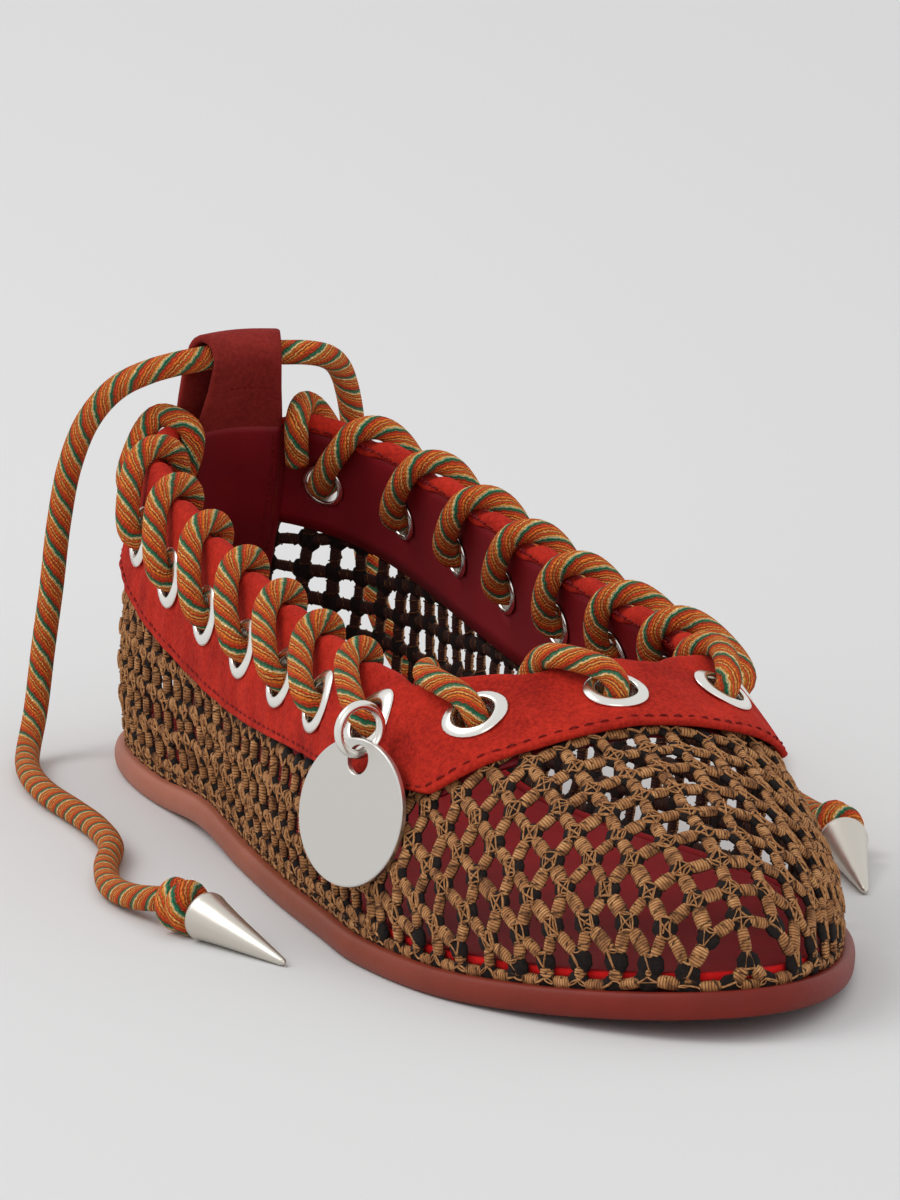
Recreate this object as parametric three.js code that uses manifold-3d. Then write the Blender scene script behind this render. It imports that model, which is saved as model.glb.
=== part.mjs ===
// Mesh ballet flat for the right foot, with a laced suede collar and two ankle ties.
// Millimetres, +Z up. The toe points towards -Y and the outer side is -X.
// The shoe stands on z = 0, and its origin is midway between heel and toe.
import * as THREE from 'three';
import { mergeVertices } from 'three/addons/utils/BufferGeometryUtils.js';
import Module from 'manifold-3d';

const wasm = await Module();
wasm.setup();

// Outsole
const soleLength = 250;
const ballWidth = 82;
const soleThickness = 4.7;
const toeSpring = 4;
const archRise = 1.5;
const soleLedge = 2.2;

// Upper, insole and collar
const upperWall = 1.5;
const insoleThickness = 2.5;
const insoleGap = 1.3;
const heelHeight = 61;
const sideHeight = 44.8;
const throatHeight = 47.5;
const collarLength = 160.5;
const collarWidth = 54;
const heelLean = 21;
const wallBulge = 3;
const bandWall = 1.4;
const bandDepth = 25;
const seamGap = 0.3;
const overlayGap = 0.45;

// Eyelets and lace
const eyeletCount = 19;
const eyeletHole = 6.6;
const eyeletBarrel = 0.4;
const eyeletFlange = 10.6;
const eyeletPlate = 0.5;
const eyeletDepth = 12;
const throatEyeletDepth = 10.5;
const firstEyelet = 16;
const laceDiameter = 4.3;
const laceClear = 0.6;

// Heel tab
const tabWidth = 17.5;
const tabWall = 1.4;
const tabRise = 17;
const tabInnerDrop = 27;
const tabOuterDrop = 20;
const tabTunnelGap = 0.7;

// Charm
const charmDiameter = 25;
const charmWall = 1.2;
const charmHole = 5;
const ringDiameter = 10;
const ringWire = 1.6;
const charmEyelet = 7;
const charmTwist = 9;
const charmTilt = 0.21;

// Ties
const tieDiameter = 4.4;
const knotLength = 11;
const knotDiameter = 9.5;
const coneLength = 24;
const coneDiameter = 8.5;
const coneTip = 1.2;

// How finely round shapes are divided
const around = 48;
const upperLevels = 5;
const bandLevels = 3;
const eyeletSides = 8;
const roundSides = 12;
const laceSides = 6;
const tieSides = 8;
const wireSides = 6;
const ringSteps = 16;

const suede = new THREE.MeshStandardMaterial({ color: 0xb23a22, roughness: 0.95, metalness: 0 });
const tabSuede = new THREE.MeshStandardMaterial({ color: 0x7d1f1c, roughness: 0.95, metalness: 0 });
const soleLeather = new THREE.MeshStandardMaterial({ color: 0x8f3b30, roughness: 0.6, metalness: 0 });
const insoleLeather = new THREE.MeshStandardMaterial({ color: 0x7a1a20, roughness: 0.7, metalness: 0 });
const knottedYarn = new THREE.MeshStandardMaterial({ color: 0x7d5a3a, roughness: 0.9, metalness: 0 });
const braidedCord = new THREE.MeshStandardMaterial({ color: 0xb8652f, roughness: 0.85, metalness: 0 });
const paleMetal = new THREE.MeshStandardMaterial({ color: 0xd8d8d4, roughness: 0.35, metalness: 1 });

// The outsole from above: share of the length from the heel end, then the half width on the
// outer and the inner side as shares of half the ball width.
const outlineRows = [
  { along: 0, outer: 0, inner: 0 },
  { along: 0.03, outer: 0.36, inner: 0.36 },
  { along: 0.08, outer: 0.56, inner: 0.58 },
  { along: 0.16, outer: 0.67, inner: 0.69 },
  { along: 0.28, outer: 0.715, inner: 0.69 },
  { along: 0.4, outer: 0.8, inner: 0.68 },
  { along: 0.52, outer: 0.9, inner: 0.77 },
  { along: 0.62, outer: 0.96, inner: 0.9 },
  { along: 0.7, outer: 1, inner: 0.98 },
  { along: 0.8, outer: 0.925, inner: 0.95 },
  { along: 0.88, outer: 0.735, inner: 0.76 },
  { along: 0.94, outer: 0.52, inner: 0.54 },
  { along: 0.98, outer: 0.3, inner: 0.31 },
  { along: 1, outer: 0, inner: 0 },
];

// The collar edge: turn from the heel (0) to the throat (1), share of the collar length from
// its heel end, half width as a share of half the collar width, and how far the edge keeps to
// the heel height and to the throat height rather than to the side height.
const collarRows = [
  { turn: 0, along: 0, width: 0, heel: 1, throat: 0 },
  { turn: 0.06, along: 0.008, width: 0.24, heel: 0.99, throat: 0 },
  { turn: 0.12, along: 0.03, width: 0.47, heel: 0.96, throat: 0 },
  { turn: 0.2, along: 0.094, width: 0.69, heel: 0.86, throat: 0 },
  { turn: 0.3, along: 0.225, width: 0.845, heel: 0.66, throat: 0 },
  { turn: 0.4, along: 0.38, width: 0.91, heel: 0.44, throat: 0 },
  { turn: 0.5, along: 0.535, width: 0.945, heel: 0.26, throat: 0 },
  { turn: 0.6, along: 0.68, width: 0.975, heel: 0.13, throat: 0 },
  { turn: 0.7, along: 0.81, width: 1, heel: 0.05, throat: 0 },
  { turn: 0.78, along: 0.89, width: 0.95, heel: 0, throat: 0.02 },
  { turn: 0.85, along: 0.944, width: 0.81, heel: 0, throat: 0.1 },
  { turn: 0.91, along: 0.975, width: 0.57, heel: 0, throat: 0.4 },
  { turn: 0.96, along: 0.994, width: 0.28, heel: 0, throat: 0.85 },
  { turn: 1, along: 1, width: 0, heel: 0, throat: 1 },
];

// The wall between feather line and collar edge, by the same turn: how far it climbs and drops
// at its two ends as shares of its height, its bulge as a share of the named bulge, and how far
// it leans out under the collar as a share of the vamp's length.
const wallRows = [
  { turn: 0, rise: 0.38, drop: 0.34, bulge: 1, lean: 0.1 },
  { turn: 0.2, rise: 0.38, drop: 0.34, bulge: 1, lean: 0.07 },
  { turn: 0.4, rise: 0.38, drop: 0.36, bulge: 1, lean: 0.05 },
  { turn: 0.6, rise: 0.38, drop: 0.36, bulge: 1, lean: 0.08 },
  { turn: 0.7, rise: 0.4, drop: 0.36, bulge: 0.9, lean: 0.15 },
  { turn: 0.78, rise: 0.42, drop: 0.36, bulge: 0.8, lean: 0.16 },
  { turn: 0.85, rise: 0.44, drop: 0.34, bulge: 0.7, lean: 0.24 },
  { turn: 0.92, rise: 0.46, drop: 0.31, bulge: 0.6, lean: 0.34 },
  { turn: 1, rise: 0.48, drop: 0.29, bulge: 0.6, lean: 0.42 },
];

// The suede band's depth below the edge, as a share of the named depth. It has a corner on
// each side of the vamp, so it is followed with straight steps.
const bandRows = [
  { turn: 0, depth: 0.84 },
  { turn: 0.3, depth: 0.98 },
  { turn: 0.6, depth: 1 },
  { turn: 0.8, depth: 1.1 },
  { turn: 0.88, depth: 0.9 },
  { turn: 1, depth: 0.8 },
];

// The outsole's side from its bottom to its ledge: inset as a share of the ledge, and height
// as a share of the thickness.
const soleSideRows = [
  { inset: 0.5, height: 0 },
  { inset: 0.12, height: 0.2 },
  { inset: 0, height: 0.5 },
  { inset: 0.1, height: 0.8 },
  { inset: 0.35, height: 1 },
];

// A smooth closed curve through the rows' values over two half turns. The second half repeats
// the first one backwards, with its own column and sign.
function closedCurve(rows, firstHalf, secondHalf) {
  const knots = rows.map((row) => [row.turn, firstHalf(row)]);
  for (const row of rows.slice(1, -1).reverse()) knots.push([2 - row.turn, secondHalf(row)]);
  const count = knots.length;
  const place = (i) => knots[(i + count) % count][0] + 2 * Math.floor(i / count);
  const value = (i) => knots[(i + count) % count][1];
  const slope = (i) => (value(i + 1) - value(i - 1)) / (place(i + 1) - place(i - 1));
  return (anyTurn) => {
    const turn = anyTurn - 2 * Math.floor(anyTurn / 2);
    let i = count - 1;
    while (place(i) > turn) i -= 1;
    const span = place(i + 1) - place(i);
    const u = (turn - place(i)) / span;
    const start = value(i) * (1 + 2 * u) * (1 - u) ** 2 + slope(i) * span * u * (1 - u) ** 2;
    const end = value(i + 1) * u * u * (3 - 2 * u) - slope(i + 1) * span * u * u * (1 - u);
    return start + end;
  };
}

function evenCurve(rows, column) {
  return closedCurve(rows, (row) => row[column], (row) => row[column]);
}

function straightSteps(rows, column, turn) {
  const half = turn <= 1 ? turn : 2 - turn;
  let i = 0;
  while (i < rows.length - 2 && rows[i + 1].turn < half) i += 1;
  const u = (half - rows[i].turn) / (rows[i + 1].turn - rows[i].turn);
  return rows[i][column] + u * (rows[i + 1][column] - rows[i][column]);
}

const turnedOutline = outlineRows.map((row) => ({
  ...row,
  turn: Math.acos(1 - 2 * row.along) / Math.PI,
}));
const outlineWidth = closedCurve(turnedOutline, (row) => -row.outer, (row) => row.inner);
const collarSide = closedCurve(collarRows, (row) => -row.width, (row) => row.width);
const collarAlong = evenCurve(collarRows, 'along');
const collarHeel = evenCurve(collarRows, 'heel');
const collarThroat = evenCurve(collarRows, 'throat');
const wallRise = evenCurve(wallRows, 'rise');
const wallDrop = evenCurve(wallRows, 'drop');
const wallSwell = evenCurve(wallRows, 'bulge');
const wallLean = evenCurve(wallRows, 'lean');

function outlinePoint(turn) {
  const along = (1 - Math.cos(Math.PI * turn)) / 2;
  return new THREE.Vector2(outlineWidth(turn) * ballWidth / 2, soleLength * (0.5 - along));
}

function collarPoint(turn) {
  const height = sideHeight + (heelHeight - sideHeight) * collarHeel(turn)
    + (throatHeight - sideHeight) * collarThroat(turn);
  const y = soleLength / 2 - heelLean - collarLength * collarAlong(turn);
  return new THREE.Vector3(collarSide(turn) * collarWidth / 2, y, height);
}

// Turns grow from the heel along the outer side to the toe, so outward is on the right hand.
function outward(curve, turn) {
  const step = 0.002;
  const before = curve(turn - step);
  const after = curve(turn + step);
  return new THREE.Vector2(after.y - before.y, before.x - after.x).normalize();
}

function insetOutline(turn, inset) {
  return outlinePoint(turn).addScaledVector(outward(outlinePoint, turn), -inset);
}

// The height of the outsole's underside, by place along the shoe.
const archStart = 0.2;
const archEnd = 0.43;
const springStart = 0.78;
function soleBottom(y) {
  const along = THREE.MathUtils.clamp(0.5 - y / soleLength, 0, 1);
  if (along > archStart && along < archEnd) {
    return archRise * Math.sin(Math.PI * (along - archStart) / (archEnd - archStart)) ** 2;
  }
  return toeSpring * (Math.max(0, along - springStart) / (1 - springStart)) ** 1.8;
}

function soleTop(y) {
  return soleBottom(y) + soleThickness;
}

// The inside face of the upper, by turn and by share of the way up from feather to collar.
function profileEnds(turn) {
  const foot = insetOutline(turn, soleLedge + upperWall);
  const feather = new THREE.Vector3(foot.x, foot.y, soleTop(foot.y) + seamGap);
  const edge = collarPoint(turn);
  const height = edge.z - feather.z;
  const footOut = outward(outlinePoint, turn);
  const edgeOut = outward(collarPoint, turn);
  const vampLength = soleLength - heelLean - collarLength - soleLedge - upperWall;
  const bulge = wallBulge * wallSwell(turn);
  const lean = vampLength * wallLean(turn);
  const low = feather.clone().add(
    new THREE.Vector3(footOut.x * bulge, footOut.y * bulge, height * wallRise(turn)));
  const high = edge.clone().add(
    new THREE.Vector3(edgeOut.x * lean, edgeOut.y * lean, -height * wallDrop(turn)));
  return [feather, low, high, edge];
}

const profileSteps = 24;
const profileCache = new Map();
function profile(turn) {
  const key = turn.toFixed(5);
  if (!profileCache.has(key)) {
    const curve = new THREE.CubicBezierCurve3(...profileEnds(turn));
    curve.arcLengthDivisions = profileSteps;
    profileCache.set(key, curve);
  }
  return profileCache.get(key);
}

function wallLength(turn) {
  return profile(turn).getLength();
}

// A point on the upper's inside face by turn and depth below the collar edge. Above the edge
// the wall goes on straight.
function skin(turn, depth) {
  const curve = profile(turn);
  if (depth >= 0) return curve.getPointAt(1 - Math.min(1, depth / curve.getLength()));
  return curve.getPoint(1).addScaledVector(curve.getTangent(1), -depth);
}

function skinFrame(turn, depth) {
  const turnStep = 0.004;
  const depthStep = 0.4;
  const low = Math.min(depth + depthStep, wallLength(turn));
  const origin = skin(turn, depth);
  const along = skin(turn + turnStep, depth).sub(skin(turn - turnStep, depth));
  along.divideScalar(2 * turnStep);
  const down = skin(turn, low).sub(skin(turn, low - 2 * depthStep));
  down.divideScalar(2 * depthStep);
  const out = new THREE.Vector3().crossVectors(down, along).normalize();
  return { origin, along, down, out };
}

// The same point set off the wall, outwards where the offset is positive.
function wallPoint(turn, depth, offset) {
  const frame = skinFrame(turn, depth);
  return frame.origin.addScaledVector(frame.out, offset);
}

// Closed meshes from rings of points that all have the same count.
function ringMesh(rings, ringsClose) {
  const count = rings[0].length;
  const positions = rings.flat().flatMap((point) => [point.x, point.y, point.z]);
  const faces = [];
  const bands = ringsClose ? rings.length : rings.length - 1;
  for (let r = 0; r < bands; r += 1) {
    const low = r * count;
    const high = ((r + 1) % rings.length) * count;
    for (let i = 0; i < count; i += 1) {
      const next = (i + 1) % count;
      faces.push(low + i, low + next, high + next, low + i, high + next, high + i);
    }
  }
  return { positions, faces, count };
}

// A cap laid straight across between the two sides of the first or the last ring.
function crossCap(faces, start, count, facesUp) {
  for (let i = 0; i < count / 2; i += 1) {
    const left = [start + i, start + i + 1];
    const right = [start + (count - i) % count, start + count - i - 1];
    const corners = [left[0], left[1], right[1], right[0]];
    if (!facesUp) corners.reverse();
    if (corners[0] !== corners[3]) faces.push(corners[0], corners[2], corners[3]);
    if (corners[1] !== corners[2]) faces.push(corners[0], corners[1], corners[2]);
  }
}

function geometryOf(positions, faces) {
  const geometry = new THREE.BufferGeometry();
  geometry.setAttribute('position', new THREE.Float32BufferAttribute(positions, 3));
  geometry.setIndex(faces);
  return geometry;
}

// Slab with the outsole's outline: rows of inset and height over the given base.
function slab(rows, base) {
  const rings = rows.map((row) => Array.from({ length: around }, (_, i) => {
    const flat = insetOutline(2 * i / around, row.inset);
    return new THREE.Vector3(flat.x, flat.y, base(flat.y) + row.height);
  }));
  const { positions, faces, count } = ringMesh(rings, false);
  crossCap(faces, 0, count, false);
  crossCap(faces, (rings.length - 1) * count, count, true);
  return geometryOf(positions, faces);
}

// Hollow wall between two offsets of the upper's inside face, from one depth to another.
function wall(innerOffset, outerOffset, topDepth, bottomDepth, levels) {
  const rings = [];
  const row = (share, offset) => Array.from({ length: around }, (_, i) => {
    const turn = 2 * i / around;
    const depth = topDepth + share * (bottomDepth(turn) - topDepth);
    const point = wallPoint(turn, depth, offset);
    if (bottomDepth === wallLength && share === 1) point.z = soleTop(point.y) + seamGap;
    return point;
  });
  for (let i = levels; i >= 0; i -= 1) rings.push(row(i / levels, outerOffset));
  for (let i = 0; i <= levels; i += 1) rings.push(row(i / levels, innerOffset));
  const { positions, faces } = ringMesh(rings, true);
  return geometryOf(positions, faces);
}

// Joins and cuts
function solidOf(geometry) {
  const bare = geometry.clone();
  bare.deleteAttribute('normal');
  bare.deleteAttribute('uv');
  const merged = mergeVertices(bare, 1e-4);
  return new wasm.Manifold(new wasm.Mesh({
    numProp: 3,
    vertProperties: merged.attributes.position.array,
    triVerts: new Uint32Array(merged.index.array),
  }));
}

function geometryFrom(solid) {
  const mesh = solid.getMesh();
  return geometryOf(Array.from(mesh.vertProperties), Array.from(mesh.triVerts));
}

// Eyelets at even steps along the collar edge, from one side of the heel tab to the other.
const edgeSteps = 720;
const edgeLengths = [0];
for (let i = 1; i <= edgeSteps; i += 1) {
  const step = collarPoint(2 * i / edgeSteps).distanceTo(collarPoint(2 * (i - 1) / edgeSteps));
  edgeLengths.push(edgeLengths[i - 1] + step);
}
const edgeTotal = edgeLengths[edgeSteps];
const eyeletPitch = (edgeTotal - 2 * firstEyelet) / (eyeletCount - 1);

function turnAt(run) {
  let i = 1;
  while (i < edgeSteps && edgeLengths[i] < run) i += 1;
  const u = (run - edgeLengths[i - 1]) / (edgeLengths[i] - edgeLengths[i - 1]);
  return 2 * (i - 1 + u) / edgeSteps;
}

function eyeletRun(index) {
  return firstEyelet + index * eyeletPitch;
}

// The holes stand deeper at the sides than over the throat.
function holeDepth(turn) {
  const half = turn <= 1 ? turn : 2 - turn;
  const share = THREE.MathUtils.smoothstep(half, 0.6, 0.88);
  return eyeletDepth + share * (throatEyeletDepth - eyeletDepth);
}

const bandInside = upperWall + overlayGap;
const bandOutside = bandInside + bandWall;
const barrelRadius = eyeletHole / 2 + eyeletBarrel;
const boreRadius = barrelRadius + seamGap;

// A point beside an eyelet's centre, laid on the wall: across it, down it and off it.
function besideEyelet(turn, across, down, offset) {
  const frame = skinFrame(turn, holeDepth(turn));
  const slant = frame.along.dot(frame.down);
  const level = frame.along.clone().addScaledVector(frame.down, -slant).normalize();
  const turnStep = across / frame.along.dot(level);
  const depthStep = down - turnStep * slant;
  return wallPoint(turn + turnStep, holeDepth(turn) + depthStep, offset);
}

function eyeletRing(turn, radius, offset) {
  return Array.from({ length: eyeletSides }, (_, i) => {
    const angle = 2 * Math.PI * i / eyeletSides;
    return besideEyelet(turn, radius * Math.cos(angle), -radius * Math.sin(angle), offset);
  });
}

function eyelet(turn) {
  const inFace = -seamGap;
  const outFace = bandOutside + seamGap;
  const section = [
    [eyeletHole / 2, inFace - eyeletPlate],
    [eyeletFlange / 2, inFace - eyeletPlate],
    [barrelRadius, inFace],
    [barrelRadius, outFace],
    [eyeletFlange / 2, outFace],
    [eyeletHole / 2, outFace + eyeletPlate],
  ];
  const rings = section.map(([radius, offset]) => eyeletRing(turn, radius, offset));
  const { positions, faces } = ringMesh(rings, true);
  return geometryOf(positions, faces);
}

const boreOver = 4;
function bore(turn) {
  const rings = [-boreOver, bandOutside + boreOver].map((offset) => eyeletRing(turn, boreRadius, offset));
  const { positions, faces, count } = ringMesh(rings, false);
  const last = (rings.length - 1) * count;
  for (let i = 1; i < count - 1; i += 1) {
    faces.push(0, i + 1, i);
    faces.push(last, last + i, last + i + 1);
  }
  return geometryOf(positions, faces);
}

const eyeletTurns = Array.from({ length: eyeletCount }, (_, i) => turnAt(eyeletRun(i)));
const bores = eyeletTurns.map((turn) => solidOf(bore(turn)));
const allBores = bores.slice(1).reduce((all, one) => all.add(one), bores[0]);

function bored(geometry) {
  return geometryFrom(solidOf(geometry).subtract(allBores));
}

// A route through the given points, sampled at the points themselves.
class Route extends THREE.Curve {
  constructor(points) {
    super();
    this.points = points;
  }

  getPoint(t) {
    const place = t * (this.points.length - 1);
    const i = Math.min(Math.floor(place + 1e-9), this.points.length - 2);
    return this.points[i].clone().lerp(this.points[i + 1], place - i);
  }

  getPointAt(t) {
    return this.getPoint(t);
  }

  getTangentAt(t) {
    const half = 0.5 / (this.points.length - 1);
    return this.getPoint(Math.min(1, t + half)).sub(this.getPoint(Math.max(0, t - half))).normalize();
  }
}

function roundSection(diameter, sides) {
  const corners = Array.from({ length: sides }, (_, i) => {
    const angle = 2 * Math.PI * i / sides;
    return new THREE.Vector2(Math.cos(angle), Math.sin(angle)).multiplyScalar(diameter / 2);
  });
  return new THREE.Shape(corners);
}

function tube(curve, steps, diameter, sides) {
  return new THREE.ExtrudeGeometry(roundSection(diameter, sides), {
    steps, extrudePath: curve, bevelEnabled: false,
  });
}

// The lace whips over the edge on both sides of the throat, always going out and down into a
// hole nearer the toe. Offsets here are from the middle of the laced wall.
const wallMiddle = bandOutside / 2;
const laceStraight = wallMiddle + seamGap + eyeletPlate + laceClear;
const laceBend = 2.2;
const laceReach = laceStraight + laceBend;
const laceTop = laceDiameter / 2 + laceClear;

function lacePoint(run, depth, side) {
  return wallPoint(turnAt(run), depth, wallMiddle + side);
}

// From inside one hole over the edge and out to the next hole, given as shares of the way.
const overShares = {
  leave: 0.04, climbInside: 0.34, topInside: 0.45, topOutside: 0.57, dropOutside: 0.68, arrive: 0.96,
};
function overEdge(fromRun, toRun) {
  const at = (share) => fromRun + share * (toRun - fromRun);
  const over = overShares;
  return [
    lacePoint(at(over.leave), holeDepth(turnAt(fromRun)) - laceBend, -laceReach),
    lacePoint(at(over.climbInside), laceBend - laceTop, -laceReach),
    lacePoint(at(over.topInside), -laceTop, -laceStraight),
    lacePoint(at(over.topOutside), -laceTop, laceStraight),
    lacePoint(at(over.dropOutside), laceBend - laceTop, laceReach),
    lacePoint(at(over.arrive), holeDepth(turnAt(toRun)) - laceBend, laceReach),
  ];
}

function throughHole(run, inwards) {
  const depth = holeDepth(turnAt(run));
  const points = [lacePoint(run, depth, laceStraight), lacePoint(run, depth, -laceStraight)];
  return inwards ? points : points.reverse();
}

// The end that goes over the edge beside the heel tab and stops inside.
const laceEndDepth = 7;
const laceEndShift = 4;
function laceEnd(holeRun, tabSide) {
  const run = holeRun - tabSide * laceEndShift;
  const depth = holeDepth(turnAt(holeRun));
  return [
    lacePoint(run, laceEndDepth, -laceReach),
    lacePoint(run, laceBend - laceTop, -laceReach),
    lacePoint(run, -laceTop, -laceStraight),
    lacePoint(run, -laceTop, laceStraight),
    lacePoint(run + tabSide * laceEndShift / 4, laceBend - laceTop, laceReach),
    lacePoint(holeRun, depth - laceBend, laceReach),
  ];
}

// Where the bar inside the throat bends on its way between two holes.
const throatBarShares = [0.2, 0.8];

function laceRoute() {
  const middle = (eyeletCount - 1) / 2;
  const last = eyeletCount - 1;
  const points = [...laceEnd(eyeletRun(0), 1), ...throughHole(eyeletRun(0), true)];
  for (let i = 0; i < middle; i += 1) {
    points.push(...overEdge(eyeletRun(i), eyeletRun(i + 1)));
    points.push(...throughHole(eyeletRun(i + 1), true));
  }
  for (const share of throatBarShares) {
    points.push(lacePoint(eyeletRun(middle + share), throatEyeletDepth, -laceReach - laceClear));
  }
  for (let i = middle + 1; i < last; i += 1) {
    points.push(...throughHole(eyeletRun(i), false));
    points.push(...overEdge(eyeletRun(i + 1), eyeletRun(i)).reverse());
  }
  points.push(...throughHole(eyeletRun(last), false));
  points.push(...laceEnd(eyeletRun(last), -1).reverse());
  return points;
}

// The heel tab: one strip folded over the edge at the heel, with a tunnel for the ties at its
// top. Its section is drawn as depth below the edge against offset from the wall.
const tunnelRadius = tieDiameter / 2 + tabTunnelGap;
const tunnelDepth = tabWall + tunnelRadius - tabRise;
const tabAcross = 6;
const tunnelSteps = 6;

function tabFace(extra) {
  const inside = -seamGap - extra;
  const outside = bandOutside + seamGap + extra;
  const radius = tunnelRadius + extra;
  const points = [[tabInnerDrop, inside], [tabInnerDrop / 2, inside], [0, inside]];
  for (let i = 0; i <= tunnelSteps; i += 1) {
    const angle = Math.PI * i / tunnelSteps;
    points.push([tunnelDepth - radius * Math.sin(angle), wallMiddle - radius * Math.cos(angle)]);
  }
  points.push([0, outside], [tabOuterDrop / 2, outside], [tabOuterDrop, outside]);
  return points;
}

function heelTab() {
  const section = [...tabFace(tabWall), ...tabFace(0).reverse()];
  const rings = [];
  for (let i = 0; i <= tabAcross; i += 1) {
    const turn = tabTurn(i / tabAcross);
    rings.push(section.map(([depth, offset]) => wallPoint(turn, depth, offset)));
  }
  const { positions, faces, count } = ringMesh(rings, false);
  const flat = section.map(([depth, offset]) => new THREE.Vector2(depth, offset));
  const last = (rings.length - 1) * count;
  for (const [a, b, c] of THREE.ShapeUtils.triangulateShape(flat, [])) {
    faces.push(a, b, c);
    faces.push(last + a, last + c, last + b);
  }
  return geometryOf(positions, faces);
}

// The tab spreads evenly to both sides of the heel.
function tabTurn(share) {
  const run = (share - 0.5) * tabWidth;
  return run < 0 ? turnAt(edgeTotal + run) - 2 : turnAt(run);
}

// The charm hangs from a jump ring beside the lace at one outer eyelet.
const charmTurn = eyeletTurns[charmEyelet];
const charmInset = 3.6;
const ringRadius = (ringDiameter - ringWire) / 2;
const ringAcross = (laceDiameter + ringWire) / 2 + seamGap;
const ringOut = laceStraight + ringDiameter / 2 + seamGap;
const ringDown = 7.5;
const charmDrop = ringRadius + (charmHole - ringWire) / 2 - 2.5 * seamGap;

function besideCharm(down, out) {
  return besideEyelet(charmTurn, ringAcross, down, wallMiddle + out);
}

function jumpRing() {
  const { out } = skinFrame(charmTurn, holeDepth(charmTurn));
  const level = new THREE.Vector3(out.x, out.y, 0).normalize();
  const down = new THREE.Vector3(0, 0, -1);
  const across = new THREE.Vector3().crossVectors(level, down);
  const wire = new THREE.TorusGeometry(ringRadius, ringWire / 2, wireSides, ringSteps);
  const basis = new THREE.Matrix4().makeBasis(level, down, across);
  return wire.applyMatrix4(basis.setPosition(besideCharm(ringDown, ringOut)));
}

function charm() {
  const shape = new THREE.Shape().absarc(0, 0, charmDiameter / 2, 0, 2 * Math.PI, false);
  const hole = new THREE.Path();
  hole.absarc(0, charmDiameter / 2 - charmInset, charmHole / 2, 0, 2 * Math.PI, true);
  shape.holes.push(hole);
  const disc = new THREE.ExtrudeGeometry(shape, {
    depth: charmWall, bevelEnabled: false, curveSegments: 10,
  });
  disc.translate(0, charmInset - charmDiameter / 2, -charmWall / 2);
  const top = besideCharm(ringDown, ringOut);
  top.z -= charmDrop;
  const { out } = skinFrame(charmTurn, holeDepth(charmTurn));
  const turned = Math.atan2(out.y, out.x) + THREE.MathUtils.degToRad(charmTwist);
  const face = new THREE.Vector3(Math.cos(turned), Math.sin(turned), charmTilt).normalize();
  const side = new THREE.Vector3(-face.y, face.x, 0).normalize();
  const up = new THREE.Vector3().crossVectors(face, side);
  return disc.applyMatrix4(new THREE.Matrix4().makeBasis(side, up, face).setPosition(top));
}

// Ankle ties: each leaves the tab's tunnel, hangs down behind the heel and lies on the floor,
// with a knot and a metal cone at its end. Points are in millimetres.
const tieLines = {
  outer: [
    [-0.6, 101.6, 73.6], [-3.8, 101.1, 73.5], [-7.8, 99.9, 73.4], [-12.3, 99.3, 73.1],
    [-17, 101.5, 71.6], [-21.3, 106, 68.3], [-24.8, 111, 62], [-27, 115, 53],
    [-28.3, 117.5, 42], [-29.3, 118.8, 30.5], [-31, 119, 19],
    [-33.5, 116.5, 8.5], [-37, 111, 3.2], [-40.5, 102.5, 2.3], [-43.5, 92, 2.3], [-45.5, 79, 2.3],
    [-46, 65, 2.3], [-47, 51, 2.3], [-50, 37, 2.3], [-56, 24, 2.3], [-60.5, 10, 2.3],
    [-61, -2, 3.2], [-59.4, -12, 4.75],
  ],
  inner: [
    [0.6, 101.6, 73.6], [3.8, 101.1, 73.5], [7.8, 99.9, 73.4], [12.3, 99.3, 73.1],
    [17, 101.5, 71.6], [21.3, 106, 68.3], [25, 111, 62], [27.7, 115, 53],
    [29.6, 117.5, 42], [31.4, 118.4, 30.5], [34, 118, 19],
    [39, 115.5, 8.5], [46.5, 111.5, 3.2], [57, 107, 2.3], [69, 101.5, 2.3], [79.5, 93, 2.3],
    [85.5, 81, 2.3], [86, 67.5, 2.3], [81.5, 54.5, 2.3], [75.5, 42, 2.3], [72.5, 28.5, 2.3],
    [71.5, 15, 2.3], [70, 4, 3.2], [67.6, -5, 4.75],
  ],
};
const tieHeadings = { outer: [0.22, -0.975], inner: [-0.26, -0.966] };
const knotGap = 2 * seamGap;
const coneGap = 1.5 * seamGap;

// A place past the end of a tie, along its heading.
function pastTie(side, run) {
  const end = new THREE.Vector3(...tieLines[side].at(-1));
  const [x, y] = tieHeadings[side];
  return end.add(new THREE.Vector3(x * run, y * run, 0));
}

// The knot's end faces as a share of its diameter, and its shoulders as a share of its length.
const knotFace = 0.32;
const knotShoulder = 0.3;

function lathe(rows) {
  const profile = rows.map(([radius, along]) => new THREE.Vector2(radius, along));
  return new THREE.LatheGeometry(profile, roundSides);
}

// A turned piece laid with its axis along the heading, sloping down by the given drop.
function laid(geometry, start, heading, slope) {
  const axis = new THREE.Vector3(heading[0], heading[1], -slope).normalize();
  const turned = new THREE.Quaternion().setFromUnitVectors(new THREE.Vector3(0, 1, 0), axis);
  return geometry.applyQuaternion(turned).translate(start.x, start.y, start.z);
}

function knot(side) {
  const face = knotDiameter * knotFace;
  const swell = knotDiameter / 2;
  const rows = [
    [0, 0], [face, 0], [swell, knotLength * knotShoulder],
    [swell, knotLength * (1 - knotShoulder)], [face, knotLength], [0, knotLength],
  ];
  return laid(lathe(rows), pastTie(side, knotGap), tieHeadings[side], 0);
}

function cone(side) {
  const slope = (coneDiameter - coneTip) / 2 / coneLength;
  const start = pastTie(side, knotGap + knotLength + coneGap);
  start.z = coneDiameter / 2 / Math.cos(Math.atan(slope));
  const rows = [[0, 0], [coneDiameter / 2, 0], [coneTip / 2, coneLength], [0, coneLength]];
  return laid(lathe(rows), start, tieHeadings[side], slope);
}

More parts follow.
